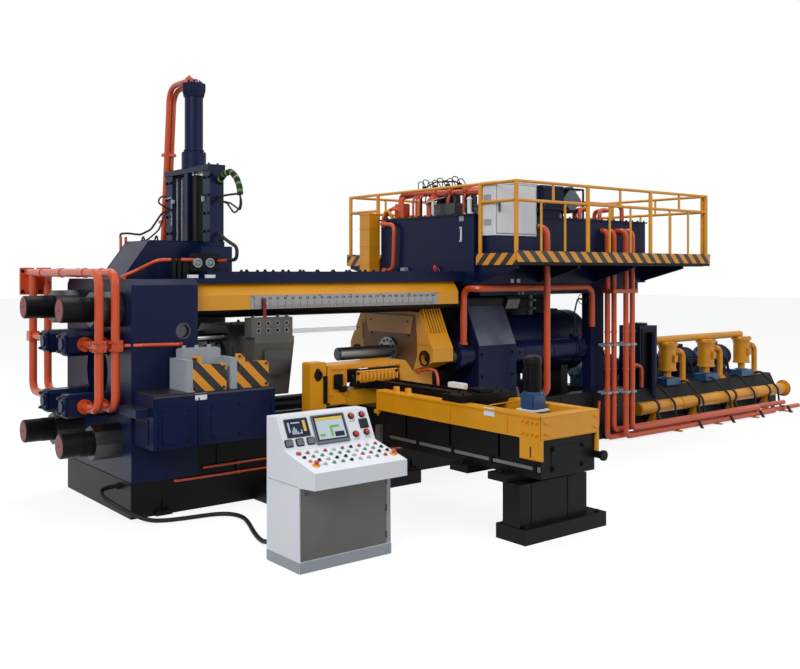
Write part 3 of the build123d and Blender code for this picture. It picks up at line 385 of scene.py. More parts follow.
def add_pipe(work, points, radius, bend=0.1, sides=16):
    """A tube with closed ends along a rounded route."""
    route = rounded_route(points, bend)
    side = None
    rows = []
    for number, spot in enumerate(route):
        ahead = route[min(number + 1, len(route) - 1)] - route[max(number - 1, 0)]
        ahead.normalize()
        if side is None:
            side = ahead.orthogonal().normalized()
        side = (side - ahead * side.dot(ahead)).normalized()
        other = ahead.cross(side)
        row = []
        for turn in range(sides):
            angle = 2 * math.pi * turn / sides
            out = side * math.cos(angle) + other * math.sin(angle)
            row.append(work.verts.new(spot + radius * out))
        rows.append(row)
    for first, second in zip(rows, rows[1:]):
        for turn in range(sides):
            after = (turn + 1) % sides
            work.faces.new((first[turn], first[after], second[after], second[turn]))
    work.faces.new(list(reversed(rows[0])))
    work.faces.new(rows[-1])


# %% [markdown]
# Bolt heads repeat around every flange. A Geometry Nodes tree puts one head,
# a six-sided cylinder on a round washer, on each point of a guide mesh and turns
# it to the direction stored at that point. Realize Instances makes real faces of
# them, and the result is then kept as a plain mesh.

# %% Bolt heads by Geometry Nodes
def socket_named(tree, label):
    """The identifier of a tree's input, which is what a modifier is set by."""
    for item in tree.interface.items_tree:
        if item.item_type == "SOCKET" and item.in_out == "INPUT" and item.name == label:
            return item.identifier
    raise KeyError(label)


def scatter_tree(name, parts, material):
    """Instances of simple parts on points that store the way they face.

    parts is a list of (shape, sides, radius input, depth input, lift)."""
    tree = bpy.data.node_groups.new(name, "GeometryNodeTree")
    tree.interface.new_socket("Spots", in_out="INPUT", socket_type="NodeSocketGeometry")
    tree.interface.new_socket("Heads", in_out="OUTPUT", socket_type="NodeSocketGeometry")
    entry = tree.nodes.new("NodeGroupInput")
    leave = tree.nodes.new("NodeGroupOutput")
    join = tree.nodes.new("GeometryNodeJoinGeometry")
    for label, sides, radius, depth, lift in parts:
        for size_name, size in ((label + " radius", radius), (label + " depth", depth)):
            added = tree.interface.new_socket(size_name, in_out="INPUT",
                socket_type="NodeSocketFloat")
            added.default_value = size
        cylinder = tree.nodes.new("GeometryNodeMeshCylinder")
        cylinder.inputs["Vertices"].default_value = sides
        tree.links.new(entry.outputs[label + " radius"], cylinder.inputs["Radius"])
        tree.links.new(entry.outputs[label + " depth"], cylinder.inputs["Depth"])
        shift = tree.nodes.new("GeometryNodeTransform")
        shift.inputs["Translation"].default_value = (0, 0, lift)
        tree.links.new(cylinder.outputs["Mesh"], shift.inputs["Geometry"])
        tree.links.new(shift.outputs["Geometry"], join.inputs["Geometry"])
    aim = tree.nodes.new("GeometryNodeInputNamedAttribute")
    aim.data_type = "FLOAT_VECTOR"
    aim.inputs["Name"].default_value = "aim"
    align = tree.nodes.new("FunctionNodeAlignRotationToVector")
    align.axis = "Z"
    tree.links.new(aim.outputs["Attribute"], align.inputs["Vector"])
    place = tree.nodes.new("GeometryNodeInstanceOnPoints")
    tree.links.new(entry.outputs["Spots"], place.inputs["Points"])
    tree.links.new(join.outputs["Geometry"], place.inputs["Instance"])
    tree.links.new(align.outputs["Rotation"], place.inputs["Rotation"])
    real = tree.nodes.new("GeometryNodeRealizeInstances")
    tree.links.new(place.outputs["Instances"], real.inputs["Geometry"])
    coat = tree.nodes.new("GeometryNodeSetMaterial")
    coat.inputs["Material"].default_value = material
    tree.links.new(real.outputs["Geometry"], coat.inputs["Geometry"])
    tree.links.new(coat.outputs["Geometry"], leave.inputs[0])
    return tree


def scatter(name, tree, spots, slot, body="frame", sizes=None):
    """Runs a scatter tree on (place, aim) pairs and keeps a plain mesh."""
    guide = bpy.data.meshes.new(name + "_spots")
    guide.from_pydata([tuple(place) for place, way in spots], [], [])
    stored = guide.attributes.new("aim", "FLOAT_VECTOR", "POINT")
    for number, (place, way) in enumerate(spots):
        stored.data[number].vector = Vector(way).normalized()
    holder = bpy.data.objects.new(name + "_guide", guide)
    bpy.context.scene.collection.objects.link(holder)
    modifier = holder.modifiers.new("scatter", "NODES")
    modifier.node_group = tree
    for label, size in (sizes or {}).items():
        modifier[socket_named(tree, label)] = size
    ready = holder.evaluated_get(bpy.context.evaluated_depsgraph_get())
    mesh = bpy.data.meshes.new_from_object(ready)
    mesh.name = name
    bpy.data.objects.remove(holder)
    if not mesh.materials:
        mesh.materials.append(FINISHES[slot])
    piece = bpy.data.objects.new(name, mesh)
    bpy.context.scene.collection.objects.link(piece)
    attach(piece, body)
    print(name, len(spots), "places,", len(mesh.polygons), "faces")
    return piece


def bolt_tree(slot):
    """Hexagon head on a washer."""
    return scatter_tree("bolt_heads_" + slot, (
        ("Head", 6, 0.018, 0.020, 0.014),
        ("Washer", 14, 0.026, 0.006, 0.003),
        ), FINISHES[slot])


BLACK_BOLTS = bolt_tree("black_paint")
STEEL_BOLTS = bolt_tree("dark_steel")
NAVY_BOLTS = bolt_tree("navy_paint")
YELLOW_BOLTS = bolt_tree("yellow_paint")
ORANGE_BOLTS = bolt_tree("orange_paint")


def radii(head, washer):
    """Sizes of a bolt's head and of the washer under it."""
    return {"Head radius": head, "Washer radius": washer}


SMALL_BOLT = radii(0.012, 0.017)


def circle_spots(centre, way, radius, count, start=0.0):
    """Bolt places on a circle round a centre, all facing one way."""
    way = Vector(way).normalized()
    side = way.orthogonal().normalized()
    if abs(way.x) > 0.9:
        side = Vector((0, 1, 0))
    other = way.cross(side)
    spots = []
    for number in range(count):
        angle = start + 2 * math.pi * number / count
        spots.append((Vector(centre) + radius * (side * math.cos(angle) + other * math.sin(angle)),
            way))
    return spots


def row_spots(first, last, count, way):
    """Bolt places in a straight row."""
    first, last = Vector(first), Vector(last)
    return [(first.lerp(last, number / (count - 1)), way) for number in range(count)]

# %% [markdown]
# The exit end shows four tie-rod ends. Each is a thick threaded bar whose face
# is painted dark red round a small centring hole. A shallow turned disc with a
# chamfer stands on each face, and a few fine rings mark the thread beside the nut.

# %% Tie rod ends
TIE_Y = 0.580
TIE_LOW, TIE_HIGH = 0.755, 2.110
TIE_RADIUS = 0.125
ROD_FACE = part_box("tie_rods")[0][0]
NUT_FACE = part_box("tie_rod_nuts")[0][0]
tie_places = [(side * TIE_Y, height) for side in (-1, 1) for height in (TIE_LOW, TIE_HIGH)]

work = bmesh.new()
for y, z in tie_places:
    add_ring(work, (ROD_FACE + 0.001, y, z), (ROD_FACE - 0.006, y, z), TIE_RADIUS - 0.012, 0.012,
        40)
finish_piece("tie_rod_faces", work, "red_paint")

work = bmesh.new()
for y, z in tie_places:
    for number in range(9):
        x = NUT_FACE - 0.012 - number * 0.013
        add_ring(work, (x, y, z), (x - 0.006, y, z), TIE_RADIUS + 0.003, TIE_RADIUS - 0.004, 40)
finish_piece("tie_rod_threads", work, "black_paint")

# %% [markdown]
# The four cylinders that shift the container end in square heads with cap
# screws, and orange flanges carry their pipes. The heads are separate plates, so
# a thin dark gap shows round them.

# %% Shift cylinder heads
SHIFT_Y, SHIFT_RISE, AXIS_Z = 0.290, 0.320, 1.430
SHIFT_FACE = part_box("shift_cylinders")[0][0]
shift_places = [(side * SHIFT_Y, AXIS_Z + rise) for side in (-1, 1)
    for rise in (-SHIFT_RISE, SHIFT_RISE)]
work = bmesh.new()
for y, z in shift_places:
    add_box(work, (SHIFT_FACE - 0.03, y - 0.105, z - 0.105),
        (SHIFT_FACE + 0.004, y + 0.105, z + 0.105), 0.012)
    add_rod(work, (SHIFT_FACE - 0.045, y, z), (SHIFT_FACE - 0.02, y, z), 0.06, 24)
    add_box(work, (-0.05, y - 0.13, z - 0.13), (-0.015, y + 0.13, z + 0.13), 0.01)
finish_piece("shift_cylinder_heads", work, "navy_paint")
spots = []
for y, z in shift_places:
    spots += [((SHIFT_FACE - 0.03, y + dy, z + dz), (-1, 0, 0)) for dy in (-0.078, 0.078)
        for dz in (-0.078, 0.078)]
scatter("shift_head_screws", STEEL_BOLTS, spots, "dark_steel", sizes=radii(0.014, 0.019))

# %% [markdown]
# The pipes on the exit end are joined by square flanges and valve blocks. Their
# screws sit in fours, and a thin pipe leads from the second block to a port in
# the side of the platen.

# %% Exit pipe fittings
EXIT_RUNS = (-0.290, -0.120)
PORT_FACE = 0.410
BLOCK_Y = -0.820
UPPER_PORT, LOWER_PORT = AXIS_Z + SHIFT_RISE, AXIS_Z - SHIFT_RISE
spots = []
for x in EXIT_RUNS:
    for dx in (-0.036, 0.036):
        for dz in (-0.036, 0.036):
            spots.append(((x + dx, BLOCK_Y - 0.057, UPPER_PORT + dz), (0, -1, 0)))
            spots.append(((x - 0.057, BLOCK_Y + dx, UPPER_PORT + dz), (-1, 0, 0)))
    for side, face in ((-1, -PORT_FACE - 0.05), (1, PORT_FACE + 0.05)):
        for height in (UPPER_PORT, LOWER_PORT):
            spots += circle_spots((x, face, height), (0, side, 0), 0.058, 4, math.pi / 4)
scatter("exit_pipe_screws", ORANGE_BOLTS, spots, "orange_paint",
    sizes={"Head radius": 0.011, "Head depth": 0.014, "Washer radius": 0.014})

work = bmesh.new()
PORT_X, PORT_Z = 0.483, 1.748
add_pipe(work, [(EXIT_RUNS[1] + 0.05, BLOCK_Y, UPPER_PORT),
    (0.1, BLOCK_Y - 0.16, UPPER_PORT + 0.006),
    (PORT_X, -0.985, PORT_Z), (PORT_X + 0.06, -0.93, PORT_Z)], 0.019, 0.05)
finish_piece("thin_port_pipe", work, "orange_paint")
work = bmesh.new()
add_ring(work, (0.56, -0.929, 1.88), (0.56, -0.937, 1.88), 0.084, 0.07, 32)
add_rod(work, (0.56, -0.9, 1.88), (0.56, -0.815, 1.88), 0.066, 24)
finish_piece("platen_port_ring", work, "dark_steel")

# %% [markdown]
# Two header pipes cross over the top of the exit end, held by saddle clamps,
# and end in square flanges with four screws each.

# %% Header flanges and clamps
HEADER_Z = 2.485
HEADER_ENDS = ((-0.290, 1.470), (-0.120, 1.380))
spots = []
work = bmesh.new()
for x, far in HEADER_ENDS:
    spots += [((x + dx, far + 0.035, HEADER_Z - 0.1 + dz), (0, 1, 0)) for dx in (-0.055, 0.055)
        for dz in (-0.12, 0.12)]
    spots += [((x + dx, far, HEADER_Z - 0.1 + dz), (0, -1, 0)) for dx in (-0.055, 0.055)
        for dz in (-0.12, 0.12)]
    for y in (0.9, 0.25, -0.45):
        add_ring(work, (x, y - 0.012, HEADER_Z), (x, y + 0.012, HEADER_Z), 0.052, 0.044, 24)
finish_piece("header_clamps", work, "orange_paint")
scatter("header_screws", BLACK_BOLTS, spots, "black_paint", sizes=radii(0.014, 0.02))

# %% [markdown]
# A scale runs along the guard over the tie rods and shows where the crosshead
# stands. Its plate is brushed metal. The tick marks are thin dark bars in one
# mesh, every fifth one longer, and plain numbers stand over them.

# %% Ruler ticks and numbers
RULER_LOW, RULER_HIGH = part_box("ruler")
RULER_FACE = RULER_LOW[1] - 0.0012
tick_work = bmesh.new()
tick_count = int((RULER_HIGH[0] - RULER_LOW[0] - 0.1) / 0.02)
for number in range(tick_count + 1):
    x = RULER_LOW[0] + 0.05 + number * 0.02
    height = 0.075 if number % 5 == 0 else 0.035
    width = 0.0022 if number % 5 == 0 else 0.0014
    add_box(tick_work, (x - width, RULER_FACE, RULER_LOW[2] + 0.004),
        (x + width, RULER_FACE + 0.001, RULER_LOW[2] + 0.004 + height))
finish_piece("ruler_ticks", tick_work, "black_paint")


def flat_text(name, words, height, depth=0.0006):
    """Letters as a mesh, lying in XY with the given height."""
    curve = bpy.data.curves.new(name, "FONT")
    curve.body = words
    curve.size = height
    curve.align_x = "CENTER"
    curve.extrude = depth
    curve.resolution_u = 2
    holder = bpy.data.objects.new(name, curve)
    bpy.context.scene.collection.objects.link(holder)
    bpy.context.view_layer.update()
    ready = holder.evaluated_get(bpy.context.evaluated_depsgraph_get())
    mesh = bpy.data.meshes.new_from_object(ready)
    bpy.data.objects.remove(holder)
    return mesh


def face_operator(mesh, place):
    """Stands a text mesh upright, readable from -Y."""
    mesh.transform(Matrix.Translation(place) @ Matrix.Rotation(math.radians(90), 4, "X"))
    return mesh


number_work = bmesh.new()
for number in range(0, tick_count + 1, 5):
    x = RULER_LOW[0] + 0.05 + number * 0.02
    label = face_operator(flat_text("label", str(number * 2), 0.042),
        (x, RULER_FACE, RULER_HIGH[2] - 0.052))
    number_work.from_mesh(label)
finish_piece("ruler_numbers", number_work, "black_paint")

spots = []
for number in range(7):
    x = RULER_LOW[0] + 0.03 + number * (RULER_HIGH[0] - RULER_LOW[0] - 0.06) / 6
    spots.append(((x, RULER_LOW[1], RULER_HIGH[2] - 0.012), (0, -1, 0)))
scatter("ruler_screws", STEEL_BOLTS, spots, "dark_steel",
    sizes={"Head radius": 0.005, "Head depth": 0.004, "Washer radius": 0.007,
    "Washer depth": 0.002})


# %% [markdown]
# The operator's desk stands beside the press. Its two sloping panels carry the
# screens and the push buttons. Every small piece is laid out flat, in the
# panel's own plane, and one matrix then tips it onto the slope, so each sits
# flush however steep the panel is.

# %% Desk panels and plastics
paint("button_red", (0.50, 0.012, 0.012), 0.25, 0.04, coat=0.3)
paint("button_green", (0.05, 0.30, 0.13), 0.25, 0.04, coat=0.3)
paint("button_pale", (0.48, 0.48, 0.47), 0.3, 0.04)
paint("button_amber", (0.70, 0.22, 0.02), 0.25, 0.04, coat=0.3)
paint("black_plastic", (0.010, 0.011, 0.013), 0.35, 0.08, specular=0.15)
paint("slate_plastic", (0.10, 0.12, 0.15), 0.35, 0.06)
paint("warm_grey_panel", (0.105, 0.102, 0.088), 0.32, 0.14, coat=0.2)
paint("screen_navy", (0.004, 0.008, 0.045), 0.20, 0.03, specular=0.12)
paint("screen_pale", (0.52, 0.60, 0.68), 0.18, 0.03, specular=0.2)
paint("screen_green", (0.16, 0.42, 0.05), 0.18, 0.03, specular=0.2)
paint("screen_yellow", (0.72, 0.50, 0.05), 0.18, 0.03, specular=0.2)
DESK_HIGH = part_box("desk_body")[1]


def slope(y_top, z_top, y_foot, z_foot):
    """Turns (x, up the slope, out of it) into the scene, measured from the top edge."""
    down = Vector((0, y_foot - y_top, z_foot - z_top)).normalized()
    out = down.cross(Vector((1, 0, 0)))
    turn = Matrix((Vector((1, 0, 0)), -down, out)).transposed().to_4x4()
    return Matrix.Translation((0, y_top, z_top)) @ turn


SCREEN_PANEL = slope(-3.060, 1.250, -3.200, 0.980)
BUTTON_PANEL = slope(-3.200, 0.980, -3.660, 0.870)


def tip(work, panel):
    """Moves a flat layout onto a panel."""
    bmesh.ops.transform(work, matrix=panel, verts=work.verts)
    return work


# %% [markdown]
# The centre screen has a wide slate bezel with a dark inner lip, and the left one
# is a bare dark glass. Real screens glow only a little in a bright hall, so their
# pictures are plain glossy colours. The shapes on them are a generic trend chart.

# %% Screens
work = bmesh.new()
add_box(work, (0.735, -0.288, 0.0), (1.090, -0.020, 0.014), 0.006)
add_box(work, (0.462, -0.196, 0.0), (0.700, -0.026, 0.008), 0.004)
finish_piece("screen_bezels", tip(work, SCREEN_PANEL), "slate_plastic")
work = bmesh.new()
add_box(work, (0.752, -0.258, 0.013), (1.072, -0.034, 0.0155), 0.001)
add_box(work, (0.468, -0.190, 0.007), (0.694, -0.032, 0.0095), 0.001)
finish_piece("screen_lips", tip(work, SCREEN_PANEL), "black_plastic")
work = bmesh.new()
add_box(work, (0.768, -0.246, 0.015), (1.056, -0.076, 0.0168), 0.0005)
finish_piece("centre_screen", tip(work, SCREEN_PANEL), "screen_pale")
work = bmesh.new()
add_box(work, (0.768, -0.075, 0.015), (1.056, -0.050, 0.0168), 0.0005)
add_box(work, (0.640, -0.150, 0.009), (0.668, -0.050, 0.0106), 0.0005)
finish_piece("screen_bars", tip(work, SCREEN_PANEL), "screen_yellow")
work = bmesh.new()
add_prism(work, [(0.900, -0.230, 0.0165), (0.925, -0.230, 0.0165), (0.925, -0.150, 0.0165),
    (1.000, -0.150, 0.0165), (1.000, -0.128, 0.0165), (0.900, -0.128, 0.0165)], (0, 0, 0.0006))
add_box(work, (0.785, -0.222, 0.0165), (0.840, -0.198, 0.0171))
finish_piece("trend_step", tip(work, SCREEN_PANEL), "screen_green")
work = bmesh.new()
add_box(work, (0.476, -0.184, 0.009), (0.686, -0.040, 0.0098), 0.0005)
add_box(work, (0.940, -0.235, 0.0165), (1.040, -0.190, 0.0170))
finish_piece("left_screen", tip(work, SCREEN_PANEL), "screen_navy")
work = bmesh.new()
add_box(work, (0.488, -0.150, 0.0097), (0.504, -0.060, 0.0104))
for number in range(8):
    level = 0.016 + 0.012 * math.sin(number * 0.9)
    add_box(work, (0.520 + number * 0.013, -0.170, 0.0097),
        (0.528 + number * 0.013, -0.170 + level * 2.4, 0.0104))
add_box(work, (0.520, -0.072, 0.0097), (0.612, -0.062, 0.0104))
finish_piece("left_screen_chart", tip(work, SCREEN_PANEL), "screen_pale")

# %% [markdown]
# Under the left screen sit three square meters with rounded fronts, and a fourth
# one is at the right among four signal lamps. Each lamp is a red dome on a black
# collar over a pale name plate, which stays blank here.

# %% Meters and signal lamps
work = bmesh.new()
for x in (0.462, 0.572, 0.684):
    add_box(work, (x - 0.041, -0.276, 0.0), (x + 0.041, -0.206, 0.012), 0.007)
add_box(work, (1.232, -0.188, 0.0), (1.328, -0.098, 0.010), 0.004)
for x, s in ((1.165, 0.062), (1.285, 0.058), (1.165, 0.232), (1.285, 0.226)):
    add_rod(work, (x, -s, 0.0), (x, -s, 0.016), 0.031, 24, 0.028)
finish_piece("desk_meters", tip(work, SCREEN_PANEL), "black_plastic")
work = bmesh.new()
for x in (0.462, 0.572, 0.684):
    add_box(work, (x - 0.032, -0.268, 0.0115), (x + 0.032, -0.214, 0.013), 0.002)
finish_piece("meter_windows", tip(work, SCREEN_PANEL), "slate_plastic")


def add_dome(work, place, radius, height, sides=16, rings=4):
    """A low round cap that stands up from the panel."""
    rows = []
    for ring in range(rings):
        turn = math.pi / 2 * ring / rings
        reach, rise = radius * math.cos(turn), height * math.sin(turn)
        rows.append([work.verts.new((place[0] + reach * math.cos(2 * math.pi * n / sides),
            place[1] + reach * math.sin(2 * math.pi * n / sides),
            place[2] + rise)) for n in range(sides)])
    peak = work.verts.new((place[0], place[1], place[2] + height))
    for lower, upper in zip(rows, rows[1:]):
        for n in range(sides):
            after = (n + 1) % sides
            work.faces.new((lower[n], lower[after], upper[after], upper[n]))
    for n in range(sides):
        work.faces.new((rows[-1][n], rows[-1][(n + 1) % sides], peak))
    work.faces.new(list(reversed(rows[0])))


work = bmesh.new()
for x, s in ((1.165, 0.062), (1.285, 0.058), (1.165, 0.232), (1.285, 0.226)):
    add_dome(work, (x, -s, 0.015), 0.023, 0.020)
add_dome(work, (0.455, -0.222, 0.012), 0.009, 0.006, 12, 3)
finish_piece("signal_lamps", tip(work, SCREEN_PANEL), "button_red")
work = bmesh.new()
for x, s in ((1.165, 0.108), (1.165, 0.276), (1.285, 0.272)):
    add_box(work, (x - 0.033, -s - 0.008, 0.0), (x + 0.033, -s + 0.008, 0.003), 0.001)
finish_piece("lamp_plates", tip(work, SCREEN_PANEL), "button_pale")

# %% [markdown]
# Forty push buttons stand in four rows. One Geometry Nodes tree makes a button,
# a cap in a raised collar, and is run once for each colour, since the caps differ
# only in that. The last row ends in two emergency stops, red mushroom heads on
# yellow collars.

# %% Push buttons
BUTTON_ROWS = (
    "red red pale red pale red black red pale red",
    "black green green green green green pale green green black",
    "amber black pale black black pale red red black black",
    "stop pale green green black pale pale green red stop",
)
button_spots = {}
tilt = BUTTON_PANEL.to_3x3() @ Vector((0, 0, 1))
for row, colours in enumerate(BUTTON_ROWS):
    for column, colour in enumerate(colours.split()):
        flat = (0.485 + 0.0895 * column + 0.008 * row, -(0.092 + 0.080 * row), 0.0)
        button_spots.setdefault(colour, []).append((BUTTON_PANEL @ Vector(flat), tilt))
for colour, finish in (("red", "button_red"), ("green", "button_green"), ("pale", "button_pale"),
        ("black", "black_plastic"), ("amber", "button_amber")):
    caps = scatter_tree("buttons_" + colour, (
        ("Cap", 16, 0.0125, 0.016, 0.010), ("Collar", 20, 0.017, 0.006, 0.003)), FINISHES[finish])
    scatter("desk_buttons_" + colour, caps, button_spots[colour], finish)
every_button = [spot for spots in button_spots.values() for spot in spots]
rings = scatter_tree("button_rings", (("Ring", 20, 0.0205, 0.004, 0.002),),
    FINISHES["light_grey_paint"])
scatter("desk_button_rings", rings, every_button, "light_grey_paint")
work = bmesh.new()
for x in (0.509, 1.3145):
    add_rod(work, (x, -0.332, 0.0), (x, -0.332, 0.014), 0.036, 28, 0.031)
finish_piece("stop_collars", tip(work, BUTTON_PANEL), "yellow_paint")
work = bmesh.new()
for x in (0.509, 1.3145):
    add_rod(work, (x, -0.332, 0.013), (x, -0.332, 0.034), 0.013, 20)
    add_dome(work, (x, -0.332, 0.032), 0.024, 0.012, 20)
add_dome(work, (0.485, -0.092, 0.012), 0.024, 0.014, 20)
finish_piece("stop_buttons", tip(work, BUTTON_PANEL), "button_red")

# %% [markdown]
# The desk is folded sheet. Its front has a warm grey door with a lock, a narrow
# pale strip down its right side and a toe band that is set back. The folded
# edges show as thin joints, and the rear foot of the door has a shallow step.

# %% Door, toe band and seams
FRONT_Y = -3.430
work = bmesh.new()
add_box(work, (0.416, FRONT_Y - 0.006, 0.104), (1.300, FRONT_Y + 0.002, 0.700), 0.002)
finish_piece("desk_door", work, "warm_grey_panel")
work = bmesh.new()
add_box(work, (1.306, FRONT_Y - 0.005, 0.104), (1.352, FRONT_Y + 0.002, 0.700), 0.002)
add_box(work, (0.407, FRONT_Y - 0.008, 0.004), (1.360, FRONT_Y + 0.002, 0.094), 0.002)
add_box(work, (0.400, -3.425, 0.004), (0.410, -2.905, 0.094), 0.002)
add_box(work, (0.401, -3.4, 0.716), (0.409, -2.93, 0.719), 0.001)
finish_piece("desk_trim", work, "light_grey_paint")
work = bmesh.new()
add_rod(work, (0.470, FRONT_Y - 0.004, 0.655), (0.470, FRONT_Y - 0.012, 0.655), 0.014, 20)
add_box(work, (0.4665, FRONT_Y - 0.014, 0.648), (0.4735, FRONT_Y - 0.010, 0.662), 0.001)
for z in (0.18, 0.42, 0.66):
    add_rod(work, (1.303, FRONT_Y - 0.010, z - 0.03), (1.303, FRONT_Y - 0.010, z + 0.03), 0.006, 12)
finish_piece("desk_lock_hinges", work, "dark_steel")
work = bmesh.new()
add_box(work, (0.420, -3.655, 0.868), (1.347, -3.652, 0.8715), 0.001)
for x in (0.55, 0.8835, 1.217):
    for z in (0.35, 0.38, 0.41, 0.44):
        add_box(work, (x - 0.06, -2.902, z), (x + 0.06, -2.897, z + 0.010), 0.002)
finish_piece("desk_vents", work, "slate_plastic")
print("desk top at", DESK_HIGH[2])

# %% [markdown]
# The shear tower stands over the die. Its cylinder ends in a heavy octagonal cap
# with a screwed skirt below it, and two hydraulic pipes leave a small block on
# top and slant down behind the tower to the beam.

# %% Shear cylinder cap and its pipes
SHEAR_X = 1.14
CAP_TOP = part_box("shear_cylinder")[1][2]
BEAM_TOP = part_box("top_beam")[1][2]
work = bmesh.new()
add_rod(work, (SHEAR_X, 0, CAP_TOP - 0.155), (SHEAR_X, 0, CAP_TOP - 0.085), 0.122, 8, 0.138)
add_rod(work, (SHEAR_X, 0, CAP_TOP), (SHEAR_X, 0, CAP_TOP + 0.012), 0.118, 8, 0.105)
for z in (3.872, 3.90):
    add_ring(work, (SHEAR_X, 0, z - 0.008), (SHEAR_X, 0, z + 0.004), 0.118, 0.100, 32)
finish_piece("cap_skirt", work, "navy_paint")
spots = circle_spots((SHEAR_X, 0, CAP_TOP + 0.010), (0, 0, 1), 0.085, 8, math.pi / 8)
spots += circle_spots((SHEAR_X, 0, 3.860), (0, 0, 1), 0.124, 10)
scatter("cap_bolts", NAVY_BOLTS, spots, "navy_paint", sizes=radii(0.011, 0.015))
work = bmesh.new()
add_box(work, (1.045, -0.035, CAP_TOP + 0.005), (1.115, 0.035, CAP_TOP + 0.072), 0.008)
add_box(work, (1.125, -0.030, CAP_TOP + 0.005), (1.185, 0.030, CAP_TOP + 0.060), 0.008)
add_rod(work, (1.08, 0, CAP_TOP + 0.07), (1.08, 0, CAP_TOP + 0.092), 0.016, 6)
add_pipe(work, [(1.080, 0.02, CAP_TOP + 0.036), (1.070, 0.50, CAP_TOP + 0.030),
    (1.070, 0.72, BEAM_TOP - 0.01)], 0.032, 0.20)
add_pipe(work, [(1.155, 0.02, CAP_TOP + 0.030), (1.140, 0.53, CAP_TOP - 0.02),
    (1.140, 0.74, BEAM_TOP - 0.01)], 0.032, 0.20)
for x, y in ((1.070, 0.72), (1.140, 0.74)):
    add_rod(work, (x, y, BEAM_TOP - 0.002), (x, y, BEAM_TOP + 0.025), 0.032 + 0.002, 24)
for y, z in ((0.60, 3.90), (0.68, 3.10)):
    add_box(work, (1.025, y - 0.045, z - 0.02), (1.185, y + 0.045, z + 0.02), 0.006)
finish_piece("cap_pipes", work, "orange_paint")

# %% [markdown]
# Between the columns the blade holder slides in guide strips of bright steel. A
# narrow navy bar runs down its face, and brackets with limit switches stand at
# the top of the columns.

# %% Tower guides and brackets
refinish("shear_holder", "black_paint")
work = bmesh.new()
add_box(work, (1.040, -0.045, 2.838), (1.077, 0.045, 3.632), 0.006)
finish_piece("holder_bar", work, "navy_paint")
work = bmesh.new()
for side in (-1, 1):
    add_box(work, (1.100, side * 0.388 - 0.010, 2.86), (1.118, side * 0.388 + 0.010, 3.60), 0.002)
    add_box(work, (1.162, side * 0.388 - 0.010, 2.86), (1.180, side * 0.388 + 0.010, 3.60), 0.002)
finish_piece("guide_strips", work, "ruler_plate")
work = bmesh.new()
add_box(work, (1.035, 0.405, 3.36), (1.058, 0.560, 3.385), 0.003)
add_box(work, (1.035, 0.330, 3.30), (1.060, 0.400, 3.345), 0.004)
add_box(work, (1.035, -0.440, 3.28), (1.060, -0.392, 3.345), 0.004)
add_box(work, (1.046, 0.398, 3.04), (1.058, 0.420, 3.36), 0.002)
finish_piece("switch_brackets", work, "light_grey_paint")
spots = []
for side in (-1, 1):
    for z in (2.95, 3.15, 3.35, 3.55):
        spots += [((1.055, side * 0.48 + dy, z), (-1, 0, 0)) for dy in (-0.055, 0.055)]
    for x in (1.085, 1.195):
        spots += [((x, side * 0.565, z), (0, side, 0)) for z in (2.84, 3.58)]
    spots += [((x, side * 0.48, 3.690), (0, 0, 1)) for x in (1.085, 1.195)]
scatter("column_bolts", NAVY_BOLTS, spots, "navy_paint", sizes=radii(0.013, 0.018))
work = bmesh.new()
for side in (-1, 1):
    add_box(work, (1.048, side * 0.48 - 0.098, 2.781), (1.232, side * 0.48 + 0.098, 2.805), 0.004)
    add_box(work, (1.045, side * 0.565 - 0.006, 2.80), (1.235, side * 0.565 + 0.006, 2.83), 0.003)
finish_piece("column_feet", work, "navy_paint")

# %% [markdown]
# A ribbed cable carrier hangs from the near column and lets the cables follow
# the shear. Its ribs are one ring set along the route by a Geometry Nodes tree,
# so their spacing stays even on the bend. A few ribs are yellow-green markers.

# %% Cable carrier and hoses of the tower
CARRIER_ROUTE = [(1.17, -0.56, 3.50), (1.15, -0.74, 3.575), (1.14, -0.90, 3.585),
    (1.14, -1.02, 3.50),
    (1.14, -1.08, 3.41), (1.14, -1.10, 3.32)]
route = rounded_route(CARRIER_ROUTE, 0.12, 5)
spots, marks, length = [], [], 0.0
for here, there in zip(route, route[1:]):
    for number in range(max(1, round((there - here).length / 0.018))):
        share = number / max(1, round((there - here).length / 0.018))
        place = here.lerp(there, share)
        (marks if len(spots + marks) % 7 in (3, 4) else spots).append((place, there - here))
rib_black = scatter_tree("ribs_black", (("Rib", 14, 0.034, 0.010, 0.0),), FINISHES["cable_black"])
rib_marks = scatter_tree("ribs_marked", (("Rib", 14, 0.0345, 0.009, 0.0),),
    FINISHES["screen_green"])
scatter("carrier_ribs", rib_black, spots, "cable_black")
scatter("carrier_marks", rib_marks, marks, "cable_black")
work = bmesh.new()
add_pipe(work, CARRIER_ROUTE, 0.028, 0.12, 12)
add_pipe(work, [(1.14, -0.560, 3.325), (1.14, -0.80, 3.335), (1.14, -0.98, 3.335),
    (1.14, -1.10, 3.325)], 0.012, 0.08, 8)
add_pipe(work, [(1.15, -0.56, 3.31), (1.15, -0.80, 3.24), (1.15, -0.95, 3.12), (1.15, -1.08, 3.19),
    (1.14, -1.10, 3.31)], 0.010, 0.10, 8)
add_pipe(work, [(1.13, -0.56, 3.30), (1.13, -0.90, 3.24), (1.13, -1.12, 3.15), (1.13, -1.15, 3.24),
    (1.14, -1.09, 3.31)], 0.010, 0.07, 8)
add_pipe(work, [(1.15, -0.56, 2.93), (1.14, -0.80, 2.84), (1.14, -1.03, 2.76), (1.14, -1.02, 2.63),
    (1.14, -0.83, 2.619)], 0.020, 0.13, 12)
